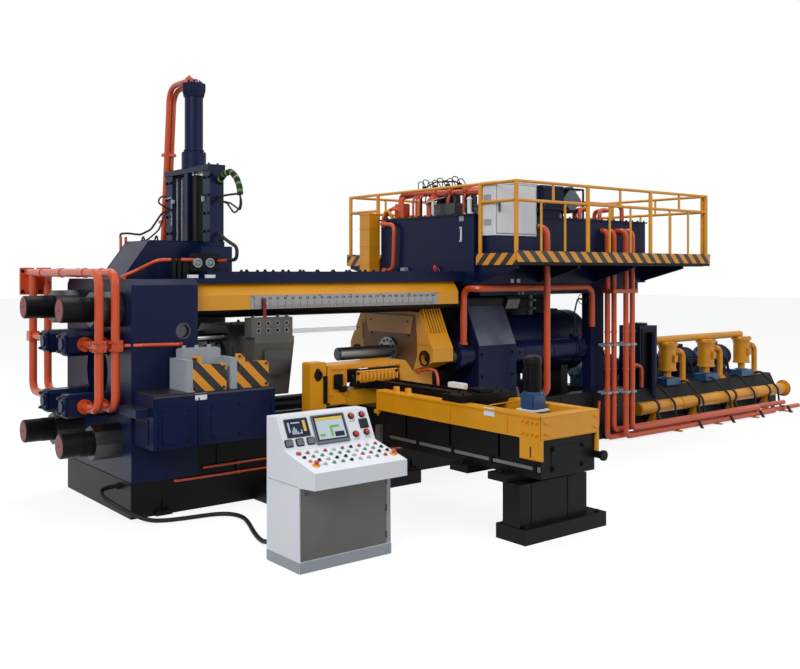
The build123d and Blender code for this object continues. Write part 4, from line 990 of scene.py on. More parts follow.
add_pipe(work, [(1.06, 0.42, 3.235), (0.93, 0.405, 3.19), (0.79, 0.40, 2.99), (0.66, 0.40, 2.925),
    (0.52, 0.42, 2.94), (0.44, 0.45, 2.935), (0.44, 0.45, 2.88)], 0.012, 0.12, 10)
add_pipe(work, [(1.06, 0.40, 3.24), (0.95, 0.36, 3.18), (0.84, 0.30, 2.98), (0.70, 0.30, 2.86),
    (0.60, 0.24, 2.848)], 0.010, 0.12, 10)
add_pipe(work, [(1.05, 0.50, 3.38), (0.97, 0.52, 3.40), (0.93, 0.53, 3.32), (1.05, 0.52, 3.25)],
    0.010, 0.06, 8)
finish_piece("tower_hoses", work, "cable_black")
work = bmesh.new()
add_rod(work, (1.14, -0.84, 2.619), (1.14, -0.560, 2.619), 0.017, 14)
add_rod(work, (1.14, -0.60, 2.619), (1.14, -0.566, 2.619), 0.030, 6)
for x in (0.445, 0.505):
    add_pipe(work, [(x, 0.45, 2.90), (x, 0.45, 2.43), (x, 0.45, 2.415)], 0.016, 0.03, 12)
    add_rod(work, (x, 0.45, 2.419), (x, 0.45, 2.445), 0.028, 6)
finish_piece("tower_stubs", work, "orange_paint")

# %% [markdown]
# In front of the wedge a thin pipe climbs to the manifold, a dark block with two
# round pressure fittings. Two blank plates are riveted to the beam below it.

# %% Manifold on the tower base
work = bmesh.new()
add_pipe(work, [(0.137, -0.345, 2.440), (0.300, -0.40, 2.520), (0.425, -0.60, 2.620),
    (0.588, -0.60, 2.625),
    (0.790, -0.60, 2.626), (0.950, -0.575, 2.626)], 0.020, 0.12, 14)
add_rod(work, (0.165, -0.352, 2.418), (0.137, -0.345, 2.45), 0.028, 6)
finish_piece("manifold_pipe", work, "orange_paint")
work = bmesh.new()
for x in (0.60, 0.66):
    add_box(work, (x - 0.022, -0.632, 2.420), (x + 0.022, -0.568, 2.655), 0.005)
add_box(work, (0.80, -0.600, 2.502), (1.155, -0.564, 2.700), 0.006)
add_box(work, (0.72, -0.585, 2.420), (0.80, -0.45, 2.600), 0.006)
finish_piece("manifold_block", work, "black_paint")
work = bmesh.new()
for x in (0.885, 1.035):
    add_ring(work, (x, -0.599, 2.594), (x, -0.622, 2.594), 0.052, 0.034, 28)
    add_rod(work, (x, -0.599, 2.594), (x, -0.614, 2.594), 0.030, 6)
    add_rod(work, (x, -0.612, 2.594), (x, -0.632, 2.594), 0.012, 12)
finish_piece("pressure_fittings", work, "light_grey_paint")
work = bmesh.new()
for left, right in ((0.660, 0.790), (0.865, 0.990)):
    add_box(work, (left, -0.8235, 2.430), (right, -0.8195, 2.465), 0.001)
add_box(work, (0.466, -1.4035, 1.212), (0.598, -1.3995, 1.286), 0.002)
add_box(work, (0.0205, -1.25, 0.955), (0.0245, -1.17, 1.025), 0.002)
finish_piece("blank_plates", work, "white_paint")
spots = [((x, -0.8235, 2.4475), (0, -1, 0)) for x in (0.667, 0.783, 0.872, 0.983)]
spots += [((x, -1.4035, z), (0, -1, 0)) for x in (0.476, 0.588) for z in (1.222, 1.276)]
scatter("plate_rivets", STEEL_BOLTS, spots, "dark_steel",
    sizes={"Head radius": 0.003, "Head depth": 0.002, "Washer radius": 0.004,
    "Washer depth": 0.001})

# %% [markdown]
# The wedge behind the tower is welded plate. Thin weld beads follow its joints,
# lifting rings stand on top, and bolts hold the tower base to the beam.

# %% Welds and lifting rings
work = bmesh.new()
add_pipe(work, [(0.158, -0.316, 2.428), (0.458, -0.316, 2.838), (1.32, -0.316, 2.838)], 0.006,
    0.01, 6)
add_pipe(work, [(0.158, 0.316, 2.428), (0.458, 0.316, 2.838), (1.32, 0.316, 2.838)], 0.006, 0.01, 6)
for y in (-0.317, 0.317):
    add_rod(work, (0.17, y, 2.422), (0.89, y, 2.422), 0.006, 6)
add_rod(work, (0.160, -0.31, 2.424), (0.160, 0.31, 2.424), 0.006, 6)
for x, y in ((0.60, -0.18), (0.60, 0.18)):
    ring = []
    for number in range(13):
        turn = math.pi * number / 12
        ring.append((x, y + 0.035 * math.cos(turn), 2.838 + 0.055 * math.sin(turn)))
    add_pipe(work, ring, 0.010, 0.01, 8)
finish_piece("tower_welds", work, "navy_paint")
spots = row_spots((0.97, -0.700, 2.500), (4.50, -0.700, 2.500), 16, (0, 0, 1))
spots += row_spots((0.97, 0.700, 2.500), (4.50, 0.700, 2.500), 16, (0, 0, 1))
scatter("beam_bolts", NAVY_BOLTS, spots, "navy_paint")

# %% [markdown]
# A platform with yellow railings runs round the oil tank. The rails are round
# tube with thicker posts. Here each side is drawn as lines and each line becomes
# a tube, so the joints meet neatly, and the piece takes the place of the plain
# railing solids.

# %% Railings
DECK_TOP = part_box("deck")[1][2]
RAIL_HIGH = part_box("railing_sides")[1]
RAIL_TOP = RAIL_HIGH[2] - 0.021
RAIL_MID = 3.400
LEFT, RIGHT = 4.690, 8.780
NEAR, FAR = -1.710, 1.850


def add_railing(work, start, end, bays, balusters):
    """Posts, two rails and balusters from one corner to the next."""
    start, end = Vector(start), Vector(end)
    for number in range(bays + 1):
        foot = start.lerp(end, number / bays)
        add_rod(work, (foot.x, foot.y, DECK_TOP), (foot.x, foot.y, RAIL_TOP + 0.012), 0.028, 16)
        add_rod(work, (foot.x, foot.y, DECK_TOP), (foot.x, foot.y, DECK_TOP + 0.010), 0.052, 16)
    for z in (RAIL_MID, RAIL_TOP):
        add_rod(work, (start.x, start.y, z), (end.x, end.y, z), 0.021, 16)
    for number in range(bays * balusters):
        if (number + 1) % balusters:
            foot = start.lerp(end, (number + 1) / (bays * balusters))
            add_rod(work, (foot.x, foot.y, DECK_TOP), (foot.x, foot.y, RAIL_MID), 0.016, 12)
    for number in range(bays):
        foot = start.lerp(end, (number + 0.5) / bays)
        add_rod(work, (foot.x, foot.y, RAIL_MID), (foot.x, foot.y, RAIL_TOP), 0.018, 12)


work = bmesh.new()
add_railing(work, (LEFT, NEAR, 0), (RIGHT, NEAR, 0), 3, 3)
add_railing(work, (LEFT, FAR, 0), (RIGHT, FAR, 0), 3, 3)
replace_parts(finish_piece("side_railings", work, "yellow_paint"), "railing_sides")
work = bmesh.new()
add_railing(work, (RIGHT, NEAR + 0.06, 0), (RIGHT, FAR - 0.06, 0), 2, 3)
for y in (-1.060, 1.150):
    add_rod(work, (LEFT, y, DECK_TOP), (LEFT, y, RAIL_TOP), 0.028, 16)
    add_rod(work, (LEFT, y, DECK_TOP), (LEFT, y, DECK_TOP + 0.010), 0.052, 16)
add_rod(work, (LEFT, NEAR + 0.032, RAIL_TOP), (LEFT, FAR - 0.032, RAIL_TOP), 0.021, 16)
add_rod(work, (LEFT, NEAR + 0.032, RAIL_MID), (LEFT, -1.060, RAIL_MID), 0.021, 16)
add_rod(work, (LEFT, 1.150, RAIL_MID), (LEFT, FAR - 0.032, RAIL_MID), 0.021, 16)
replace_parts(finish_piece("end_railings", work, "yellow_paint"), "railing_ends")
work = bmesh.new()
for y in ((-1.750, -1.026), (1.026, 1.890)):
    add_box(work, (4.6425, y[0], DECK_TOP - 0.038), (4.6505, y[1], DECK_TOP + 0.115), 0.001)
finish_piece("front_toe_boards", work, "hazard_plate")
work = bmesh.new()
for side_y in (-1.754, 1.894):
    add_box(work, (4.652, side_y - 0.003, DECK_TOP - 0.036),
        (8.818, side_y + 0.003, DECK_TOP - 0.004), 0.001)
for number in range(22):
    x = 4.78 + number * 0.185
    for low, high in ((-1.74, -1.03), (1.03, 1.88)):
        add_box(work, (x, low, DECK_TOP - 0.047), (x + 0.008, high, DECK_TOP - 0.041))
finish_piece("deck_edges", work, "black_paint")

# %% [markdown]
# The tank is welded plate with a bolted lid. Its end carries a signal lamp, a
# level gauge, two blank plates and a U of pipe. The lid's bolts sit at an even
# pitch all round, so a row of points and the bolt tree make them.

# %% Oil tank fittings
LID_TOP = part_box("tank_lid")[1][2]
spots = row_spots((4.66, -0.995, LID_TOP), (8.21, -0.995, LID_TOP), 26, (0, 0, 1))
spots += row_spots((4.66, 0.995, LID_TOP), (8.21, 0.995, LID_TOP), 26, (0, 0, 1))
spots += row_spots((4.640, -0.85, LID_TOP), (4.640, 0.85, LID_TOP), 13, (0, 0, 1))
spots += row_spots((8.230, -0.85, LID_TOP), (8.230, 0.85, LID_TOP), 13, (0, 0, 1))
scatter("lid_bolts", NAVY_BOLTS, spots, "navy_paint", sizes=SMALL_BOLT)
work = bmesh.new()
add_pipe(work, [(4.632, 0.905, 3.196), (4.560, 0.905, 3.196), (4.560, 0.590, 3.170),
    (4.560, 0.620, 2.525),
    (4.560, 0.905, 2.500), (4.632, 0.905, 2.500)], 0.030, 0.11)
for z in (3.196, 2.500):
    add_rod(work, (4.628, 0.905, z), (4.600, 0.905, z), 0.055, 24)
add_pipe(work, [(4.72, 0.60, 3.37), (4.66, 0.80, 3.42), (4.62, 0.93, 3.30), (4.63, 0.96, 3.20)],
    0.022, 0.12)
add_pipe(work, [(4.78, 0.60, 3.40), (4.74, 0.84, 3.44), (4.71, 0.97, 3.34), (4.71, 0.985, 3.255)],
    0.022, 0.12)
add_box(work, (4.69, 0.54, LID_TOP), (4.81, 0.76, 3.48), 0.010)
for y in (0.66, 0.40, 0.33, 0.26):
    add_pipe(work, [(4.75, y, LID_TOP - 0.002), (4.75, y, 3.56), (4.95, y, 3.60)],
        0.026 if y > 0.5 else 0.016, 0.09)
    add_rod(work, (4.75, y, LID_TOP), (4.75, y, LID_TOP + 0.018), 0.040, 20)
add_pipe(work, [(4.78, 0.72, 3.45), (4.80, 0.72, 3.62), (4.86, 0.50, 3.62), (4.86, -0.94, 3.56),
    (4.94, -0.965, 3.50), (4.94, -0.965, LID_TOP)], 0.042, 0.10)
add_pipe(work, [(4.80, 0.10, LID_TOP), (4.80, 0.10, 3.50), (4.96, -0.10, 3.66), (4.96, -0.80, 3.60),
    (5.06, -0.92, 3.54), (5.30, -0.92, 3.54), (5.30, -0.92, LID_TOP)], 0.042, 0.10)
for y in (0.02, -0.30, -0.62):
    add_pipe(work, [(4.86, y, 3.60), (4.80, y, 3.50),
        (4.80, y, LID_TOP + 0.18 if y > -0.42 else LID_TOP)], 0.017, 0.05, 10)
    add_rod(work, (4.86, y - 0.03, 3.60), (4.86, y + 0.03, 3.60), 0.056, 20)
for x in (5.62, 6.85, 7.30):
    add_pipe(work, [(x, -0.88, LID_TOP - 0.002), (x, -0.88, 3.42), (x + 0.22, -0.88, 3.42),
        (x + 0.22, -0.60, 3.42),
        (x + 0.22, -0.60, LID_TOP - 0.002)], 0.032, 0.08)
add_pipe(work, [(6.60, -0.70, LID_TOP), (6.60, -0.70, 3.52), (8.05, -0.70, 3.52),
    (8.05, -0.70, LID_TOP)], 0.034, 0.10)
finish_piece("tank_top_pipes", work, "orange_paint")

# %% [markdown]
# Valves, coils and their cables crowd the front of the lid. Each valve here is a
# stepped body with a knurled coil and a plug, and slack cables hang between them
# in short arcs, since this is what breaks up the outline against the sky.

# %% Valves and cables on the lid
work = bmesh.new()
for number, (x, y) in enumerate(((4.90, 0.42), (4.90, 0.18), (4.92, -0.06), (4.92, -0.30),
        (5.20, 0.05), (5.20, -0.25),
        (5.24, 0.30))):
    base = 3.60
    add_box(work, (x - 0.045, y - 0.06, base), (x + 0.045, y + 0.06, base + 0.075), 0.006)
    add_rod(work, (x, y - 0.06, base + 0.045), (x, y - 0.15, base + 0.045), 0.030, 14)
    add_rod(work, (x, y + 0.06, base + 0.045), (x, y + 0.13, base + 0.050), 0.024, 6)
    add_box(work, (x - 0.025, y - 0.12, base + 0.075), (x + 0.025, y - 0.07, base + 0.12), 0.004)
    add_rod(work, (x, y, LID_TOP), (x, y, base), 0.030, 12)
for x in (5.30, 5.60, 5.95):
    add_box(work, (x - 0.08, 0.32, LID_TOP), (x + 0.08, 0.58, LID_TOP + 0.16), 0.008)
    add_rod(work, (x, 0.45, LID_TOP + 0.15), (x, 0.45, LID_TOP + 0.30), 0.045, 16)
finish_piece("lid_valves", work, "black_paint")
work = bmesh.new()
for number in range(9):
    y = 0.46 - number * 0.105
    reach = 0.05 + 0.03 * math.sin(number * 2.1)
    add_pipe(work, [(4.90, y, 3.66), (4.88, y - 0.02, 3.74 + reach),
        (4.90, y - 0.10, 3.76 + reach * 0.6),
        (4.94, y - 0.15, 3.66)], 0.007, 0.05, 7)
for x, y in ((4.86, -0.36), (5.02, -0.50), (5.10, 0.52)):
    add_pipe(work, [(x, y, 3.66), (x - 0.06, y - 0.05, 3.52), (x - 0.10, y - 0.16, 3.40),
        (x - 0.05, y - 0.26, 3.36),
        (x + 0.05, y - 0.30, 3.262)], 0.010, 0.08, 8)
add_pipe(work, [(5.05, 0.55, 3.70), (5.00, 0.20, 3.78), (5.02, -0.20, 3.76), (5.10, -0.45, 3.64),
    (5.12, -0.48, 3.262)],
    0.011, 0.12, 8)
finish_piece("lid_cables", work, "cable_black")
work = bmesh.new()
add_prism(work, [(4.70, 0.12, 3.44), (4.70, -0.18, 3.50), (4.86, -0.18, 3.53), (4.86, 0.12, 3.47)],
    (0, 0, 0.010))
add_box(work, (4.70, -0.10, LID_TOP), (4.72, -0.06, 3.49), 0.002)
add_rod(work, (4.68, -0.86, LID_TOP), (4.68, -0.86, 3.46), 0.030, 20)
add_rod(work, (4.68, -0.86, 3.455), (4.68, -0.86, 3.485), 0.040, 20, 0.022)
add_box(work, (4.640, -0.955, LID_TOP), (4.76, -0.79, LID_TOP + 0.014), 0.003)
add_box(work, (4.6265, -0.765, 2.892), (4.632, -0.733, 3.091), 0.002)
for z in (2.905, 3.078):
    add_rod(work, (4.632, -0.749, z), (4.612, -0.749, z), 0.014, 6)
finish_piece("tank_end_whites", work, "white_paint")
work = bmesh.new()
add_box(work, (4.624, -0.805, 3.167), (4.632, -0.715, 3.235), 0.002)
add_rod(work, (4.632, 0.45, 2.53), (4.575, 0.45, 2.53), 0.026, 20)
add_box(work, (4.560, 0.36, 2.505), (4.632, 0.42, 2.556), 0.006)
add_rod(work, (4.632, -0.283, 2.500), (4.600, -0.283, 2.500), 0.040, 24)
finish_piece("tank_end_greys", work, "light_grey_paint")
work = bmesh.new()
add_dome(work, (0, 0, 0), 0.034, 0.075, 18, 5)
bmesh.ops.rotate(work, matrix=Matrix.Rotation(math.radians(-18), 3, "Y"), verts=work.verts)
bmesh.ops.translate(work, vec=(4.590, -0.283, 2.515), verts=work.verts)
add_rod(work, (4.632, -0.283, 2.530), (4.592, -0.283, 2.530), 0.026, 16)
finish_piece("signal_beacon", work, "button_red")
work = bmesh.new()
add_rod(work, (4.55, 1.14, 3.352), (4.55, 1.14, 3.30), 0.060, 20)
add_pipe(work, [(4.60, 0.90, 3.30), (4.58, 0.80, 3.40), (4.62, 0.74, 3.32), (4.64, 0.74, 3.258)],
    0.024, 0.06, 12)
for z in (2.36, 2.62, 2.88, 3.14, 3.345):
    add_box(work, (4.452, 1.056, z - 0.012), (4.656, 1.304, z + 0.003), 0.002)
finish_piece("duct_bands", work, "yellow_paint")

# %% [markdown]
# The pale cabinet has one door with a dark handle, three hinges and a vent on
# its side. A door is easiest to read by the thin dark gap round it, so the gap
# is modelled as a shallow frame and not drawn.

# %% Cabinet door
CAB_LOW, CAB_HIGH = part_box("cabinet")
work = bmesh.new()
add_box(work, (CAB_LOW[0] + 0.028, CAB_LOW[1] - 0.010, CAB_LOW[2] + 0.028),
    (CAB_HIGH[0] - 0.028, CAB_LOW[1] + 0.002, CAB_HIGH[2] - 0.028), 0.004)
add_box(work, (CAB_LOW[0] - 0.006, CAB_LOW[1] + 0.03, CAB_LOW[2] + 0.03),
    (CAB_LOW[0] + 0.002, CAB_HIGH[1] - 0.03, CAB_HIGH[2] - 0.03), 0.003)
add_box(work, (CAB_LOW[0] - 0.012, CAB_LOW[1] - 0.012, CAB_HIGH[2]),
    (CAB_HIGH[0] + 0.012, CAB_HIGH[1], CAB_HIGH[2] + 0.012), 0.004)
finish_piece("cabinet_door", work, "white_paint")
work = bmesh.new()
for low, high in (((CAB_LOW[0] + 0.020, CAB_LOW[2] + 0.020),
        (CAB_LOW[0] + 0.026, CAB_HIGH[2] - 0.020)),
        ((CAB_HIGH[0] - 0.026, CAB_LOW[2] + 0.020), (CAB_HIGH[0] - 0.020, CAB_HIGH[2] - 0.020)),
        ((CAB_LOW[0] + 0.020, CAB_LOW[2] + 0.020), (CAB_HIGH[0] - 0.020, CAB_LOW[2] + 0.026)),
        ((CAB_LOW[0] + 0.020, CAB_HIGH[2] - 0.026), (CAB_HIGH[0] - 0.020, CAB_HIGH[2] - 0.020))):
    add_box(work, (low[0], CAB_LOW[1] - 0.002, low[1]), (high[0], CAB_LOW[1] + 0.001, high[1]))
add_box(work, (4.770, CAB_LOW[1] - 0.034, 3.27), (4.800, CAB_LOW[1] - 0.009, 3.40), 0.008)
for z in (3.10, 3.32, 3.54):
    add_rod(work, (CAB_HIGH[0] - 0.014, CAB_LOW[1] - 0.010, z - 0.03),
        (CAB_HIGH[0] - 0.014, CAB_LOW[1] - 0.010, z + 0.03), 0.008, 12)
for z in range(6):
    for foot in (3.10, 3.42):
        add_box(work, (CAB_LOW[0] - 0.009, -1.24, foot + z * 0.014),
            (CAB_LOW[0] - 0.005, -1.10, foot + 0.006 + z * 0.014))
finish_piece("cabinet_fittings", work, "slate_plastic")

# %% [markdown]
# The oil cooler is a rounded housing with a fan behind it and a finned block on
# the fan's frame. The fins are thin plates at an even pitch. One box on a line
# of points would do, and a Geometry Nodes tree does just that.

# %% Cooler fins and fan
COOL_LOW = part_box("oil_cooler")[0]
work = bmesh.new()
add_box(work, (6.500, -0.860, 3.370), (6.980, -0.100, 3.400), 0.006)
add_box(work, (6.500, -0.860, 3.690), (6.980, -0.100, 3.715), 0.006)
for x in (6.50, 6.955):
    add_box(work, (x, -0.860, 3.262), (x + 0.025, -0.835, 3.700), 0.003)
    add_box(work, (x, -0.125, 3.262), (x + 0.025, -0.100, 3.700), 0.003)
add_rod(work, (6.66, -0.475, 3.55), (6.68, -0.475, 3.55), 0.155, 32)
finish_piece("cooler_frame", work, "black_paint")
fins = scatter_tree("cooler_fins", (("Fin", 4, 0.20, 0.0045, 0.0),), FINISHES["slate_plastic"])
scatter("cooler_fin_row", fins,
    row_spots((6.735, -0.84, 3.545), (6.735, -0.12, 3.545), 38, (0, 1, 0)), "slate_plastic")
work = bmesh.new()
add_box(work, (6.035, COOL_LOW[1] - 0.012, 3.42), (6.465, COOL_LOW[1] + 0.002, 3.70), 0.010)
for number in range(9):
    add_box(work, (6.06, COOL_LOW[1] - 0.018, 3.445 + number * 0.028),
        (6.44, COOL_LOW[1] - 0.010, 3.455 + number * 0.028), 0.002)
add_box(work, (COOL_LOW[0] - 0.010, -0.86, 3.42), (COOL_LOW[0] + 0.002, -0.09, 3.70), 0.006)
finish_piece("cooler_louvres", work, "navy_paint")
scatter("cooler_bolts", STEEL_BOLTS,
    [((x, COOL_LOW[1] - 0.012, z), (0, -1, 0)) for x in (6.05, 6.45) for z in (3.435, 3.685)],
    "dark_steel", sizes=radii(0.010, 0.014))

# %% [markdown]
# A billet loader reaches in from the side. Its moving arm carries a ribbed
# trough for the hot billet, with two gripper jaws, and rides on the arm's body,
# so it travels through the window of the head frame when the joint moves.

# %% Billet trough and jaws
refinish("loader_arm", "black_paint")
work = bmesh.new()
add_box(work, (2.520, -1.312, 1.226), (3.105, -1.296, 1.352), 0.004)
for number in range(11):
    x = 2.545 + number * 0.054
    add_prism(work, [(x, -1.311, 1.230), (x, -1.333, 1.245), (x, -1.333, 1.315),
        (x, -1.311, 1.348)], (0.014, 0, 0))
add_rod(work, (2.525, -1.304, 1.352), (3.100, -1.304, 1.352), 0.012, 12)
finish_piece("billet_trough", work, "yellow_paint", "loader")
work = bmesh.new()
for x in (2.470, 2.560):
    add_prism(work, [(x, -1.30, 1.225), (x, -1.30, 1.30), (x, -1.255, 1.335), (x, -1.235, 1.30),
        (x, -1.25, 1.225)], (0.035, 0, 0))
add_box(work, (2.46, -1.33, 1.188), (2.70, -1.24, 1.226), 0.004)
for x in (2.72, 3.02):
    add_rod(work, (x, -1.165, 1.300), (x + 0.06, -1.165, 1.300), 0.022, 16)
add_box(work, (2.440, -1.240, 1.228), (2.640, -1.100, 1.374), 0.010)
add_box(work, (2.640, -1.240, 1.228), (3.150, -1.200, 1.372), 0.010)
finish_piece("gripper_jaws", work, "black_paint", "loader")
spots = [((x, -1.312, z), (0, -1, 0)) for x in (2.535, 3.09) for z in (1.24, 1.335)]
spots += [((x, y, 1.2603), (0, 0, 1)) for x in (2.56, 2.70, 3.10, 3.24) for y in (-3.06, -2.84)]
scatter("loader_arm_bolts", BLACK_BOLTS, spots, "black_paint", "loader", sizes=SMALL_BOLT)
work = bmesh.new()
for side in (-1, 1):
    add_box(work, (2.9 + side * 0.118 - 0.010, -2.790, 1.2205),
        (2.9 + side * 0.118 + 0.010, -1.320, 1.242), 0.003)
add_box(work, (2.80, -3.05, 1.2603), (3.00, -2.85, 1.300), 0.008)
finish_piece("arm_rails", work, "black_paint", "loader")

# %% [markdown]
# The head frame and the long beams are welded plate with bolted lugs, gussets
# and cover strips. Weld beads are thin round bars sunk halfway into the corner
# they fill, which reads as a bead from every side.

# %% Loader frame details
work = bmesh.new()
for y in (-1.96, -2.16):
    add_prism(work, [(2.535, y, 1.189), (2.535, y - 0.06, 1.189), (2.535, y - 0.05, 1.25),
        (2.535, y - 0.01, 1.25)], (0.05, 0, 0))
add_box(work, (2.494, -2.60, 0.972), (2.5015, -1.72, 0.992), 0.002)
add_box(work, (2.488, -4.160, 1.165), (2.5015, -1.760, 1.188), 0.003)
for y in (-2.05, -2.95, -3.75):
    add_prism(work, [(2.5015, y, 0.995), (2.484, y, 0.995), (2.492, y, 1.160), (2.5015, y, 1.160)],
        (0, 0.014, 0))
add_box(work, (2.50, -1.74, 0.93), (2.63, -1.66, 0.972), 0.004)
add_box(work, (3.17, -1.74, 0.93), (3.30, -1.66, 0.972), 0.004)
add_prism(work, [(3.20, -1.252, 1.19), (3.42, -1.252, 1.02), (3.45, -1.252, 1.05),
    (3.23, -1.252, 1.23)], (0, -0.012, 0))
add_box(work, (2.19, -1.262, 0.995), (2.40, -1.249, 1.13), 0.006)
add_box(work, (2.19, -1.262, 1.385), (3.18, -1.249, 1.43), 0.006)
for x in (2.205, 2.385):
    add_prism(work, [(x, -1.262, 1.13), (x, -1.249, 1.13), (x, -1.249, 1.385), (x, -1.256, 1.385)],
        (0.012, 0, 0))
add_rod(work, (2.156, -1.247, 1.02), (2.156, -1.247, 1.14), 0.008, 8)
for z in (0.985, 1.185):
    add_rod(work, (2.520, -4.170, z), (3.280, -4.170, z), 0.005, 6)
add_box(work, (2.49, -4.176, 0.790), (2.53, -3.905, 0.802), 0.002)
finish_piece("loader_trim", work, "yellow_paint")

# %% [markdown]
# A dark eye sits on the tower plate, and latches with a small roller close the
# head. The bolt tree places every screw of the loader's frame.

# %% Latches and bolts of the loader
work = bmesh.new()
eye_x = 2.0325
add_ring(work, (eye_x, -1.251, 1.345), (eye_x, -1.262, 1.345), 0.052, 0.034, 28)
add_rod(work, (eye_x, -1.245, 1.345), (eye_x, -1.256, 1.345), 0.034, 20)
add_box(work, (2.10, -1.268, 1.02), (2.15, -1.249, 1.33), 0.004)
add_box(work, (2.235, -1.272, 1.17), (2.36, -1.255, 1.34), 0.008)
add_rod(work, (2.27, -1.255, 1.255), (2.27, -1.31, 1.255), 0.032, 16)
add_box(work, (2.30, -1.30, 1.14), (2.40, -1.26, 1.20), 0.006)
finish_piece("head_latches", work, "black_paint")
spots = [((x, -1.262, z), (0, -1, 0)) for x in (2.205, 2.385) for z in (1.01, 1.115)]
spots += [((x, -1.262, 1.4075), (0, -1, 0)) for x in (2.25, 2.45, 2.65, 2.85, 3.05, 3.15)]
spots += [((2.500, y, z), (-1, 0, 0)) for z in (1.02, 1.13) for y in (-3.94, -4.00, -4.06, -4.12)]
spots += [((x, -4.170, z), (0, -1, 0)) for x in (2.56, 3.24) for z in (1.03, 1.13)]
spots += [((x, -1.70, 0.93), (0, 0, -1)) for x in (2.53, 2.60, 3.20, 3.27)]
scatter("loader_bolts", YELLOW_BOLTS, spots, "yellow_paint", sizes=SMALL_BOLT)
work = bmesh.new()
add_box(work, (2.4985, -4.045, 0.800), (2.5005, -4.030, 0.900))
for y in (-4.165, -1.705):
    add_box(work, (2.4985, y, 0.975), (2.5005, y + 0.004, 1.185))
finish_piece("leg_slots", work, "black_plastic")

# %% [markdown]
# The drive has a blue gear case on a pale foot and a black finned motor that
# stands on it. A pale switch box, its thin yellow cable and a blank plate sit on
# the beams, and an orange hose feeds the head.

# %% Loader drive and switch box
DRIVE_X, DRIVE_Y = 3.005, -3.590
work = bmesh.new()
add_box(work, (2.885, -3.705, 1.131), (3.125, -3.475, 1.152), 0.004)
add_box(work, (3.305, -2.24, 1.170), (3.385, -1.98, 1.245), 0.008)
add_box(work, (3.298, -2.16, 1.100), (3.345, -2.06, 1.172), 0.003)
finish_piece("drive_foot", work, "white_paint")
work = bmesh.new()
add_box(work, (2.912, -3.683, 1.152), (3.098, -3.497, 1.310), 0.014)
add_rod(work, (DRIVE_X, DRIVE_Y, 1.30), (DRIVE_X, DRIVE_Y, 1.322), 0.098, 32)
finish_piece("gear_case", work, "pump_blue")
work = bmesh.new()
add_rod(work, (DRIVE_X, DRIVE_Y, 1.322), (DRIVE_X, DRIVE_Y, 1.640), 0.076, 28)
add_dome(work, (DRIVE_X, DRIVE_Y, 1.640), 0.090, 0.045, 28, 4)
add_rod(work, (DRIVE_X, DRIVE_Y, 1.600), (DRIVE_X, DRIVE_Y, 1.642), 0.090, 28)
add_box(work, (2.900, -3.640, 1.42), (2.935, -3.540, 1.54), 0.006)
finish_piece("drive_motor", work, "black_paint")
motor_fins = scatter_tree("motor_fins", (("Fin", 28, 0.088, 0.005, 0.0),), FINISHES["black_paint"])
scatter("drive_motor_fins", motor_fins,
    row_spots((DRIVE_X, DRIVE_Y, 1.345), (DRIVE_X, DRIVE_Y, 1.59), 16, (0, 0, 1)), "black_paint")
work = bmesh.new()
add_box(work, (2.4955, -3.575, 1.115), (2.4995, -3.425, 1.203), 0.002)
finish_piece("beam_plate", work, "white_paint")
work = bmesh.new()
add_pipe(work, [(3.345, -2.23, 1.215), (3.325, -2.35, 1.18), (3.318, -3.25, 1.17),
    (3.22, -3.36, 1.205), (2.60, -3.42, 1.205),
    (2.505, -3.46, 1.198)],
    0.006, 0.10, 8)
finish_piece("switch_cable", work, "yellow_paint")
work = bmesh.new()
add_pipe(work, [(3.500, -1.20, 1.285), (3.520, -1.42, 1.330), (3.440, -1.62, 1.330),
    (3.350, -1.76, 1.280), (3.345, -1.78, 1.100), (3.300, -1.78, 1.060)],
    0.016, 0.12, 12)
add_rod(work, (3.50, -1.215, 1.285), (3.50, -1.265, 1.285), 0.026, 6)
add_pipe(work, [(3.36, -3.90, 0.86), (3.36, -2.70, 0.84), (3.44, -1.90, 0.88), (3.44, -1.00, 0.82),
    (3.60, -0.925, 0.76)],
    0.014, 0.15, 10)
finish_piece("loader_hoses", work, "orange_paint")

# %% [markdown]
# A grey flat bar runs along the loader's bed in five black clamps. Pieces with
# one paint share one mesh, so a group is finished at once.

# %% Bed bar, clamps and handle
work = bmesh.new()
add_box(work, (2.521, -4.090, 0.684), (2.5315, -1.880, 0.716), 0.002)
add_box(work, (2.521, -4.135, 0.676), (2.5315, -4.100, 0.724), 0.002)
add_box(work, (2.455, -1.802, 0.62), (2.523, -1.745, 0.815), 0.004)
finish_piece("bed_bar", work, "ruler_plate")
work = bmesh.new()
for y in (-1.90, -2.40, -2.95, -3.50, -4.07):
    add_box(work, (2.512, y - 0.022, 0.668), (2.5315, y + 0.022, 0.732), 0.003)
for y in (-3.15, -3.69):
    for x in (2.455, 3.345):
        add_rod(work, (x, y, 0.606), (x, y, 0.640), 0.026, 6)
add_rod(work, (3.27, -4.145, 0.76), (3.27, -4.235, 0.76), 0.034, 20)
add_rod(work, (3.27, -4.235, 0.76), (3.27, -4.262, 0.76), 0.050, 20)
for x in (2.62, 3.12):
    add_box(work, (x - 0.02, -3.955, 0.145), (x + 0.02, -3.925, 0.54), 0.004)
add_box(work, (2.66, -4.146, 0.66), (3.12, -4.138, 0.90), 0.006)
for x in (2.62, 2.90, 3.18):
    for y in (-2.2, -2.9, -3.6):
        add_box(work, (2.526, y - 0.012, 0.74), (2.534, y + 0.012, 0.96), 0.003)
finish_piece("bed_details", work, "black_paint")
spots = [((x, y, 0.140), (0, 0, 1)) for x in (2.50, 3.50) for y in (-3.98, -3.70)]
spots += [((x, -4.146, z), (0, -1, 0)) for x in (2.69, 3.09) for z in (0.69, 0.87)]
scatter("bed_bolts", BLACK_BOLTS, spots, "black_paint")

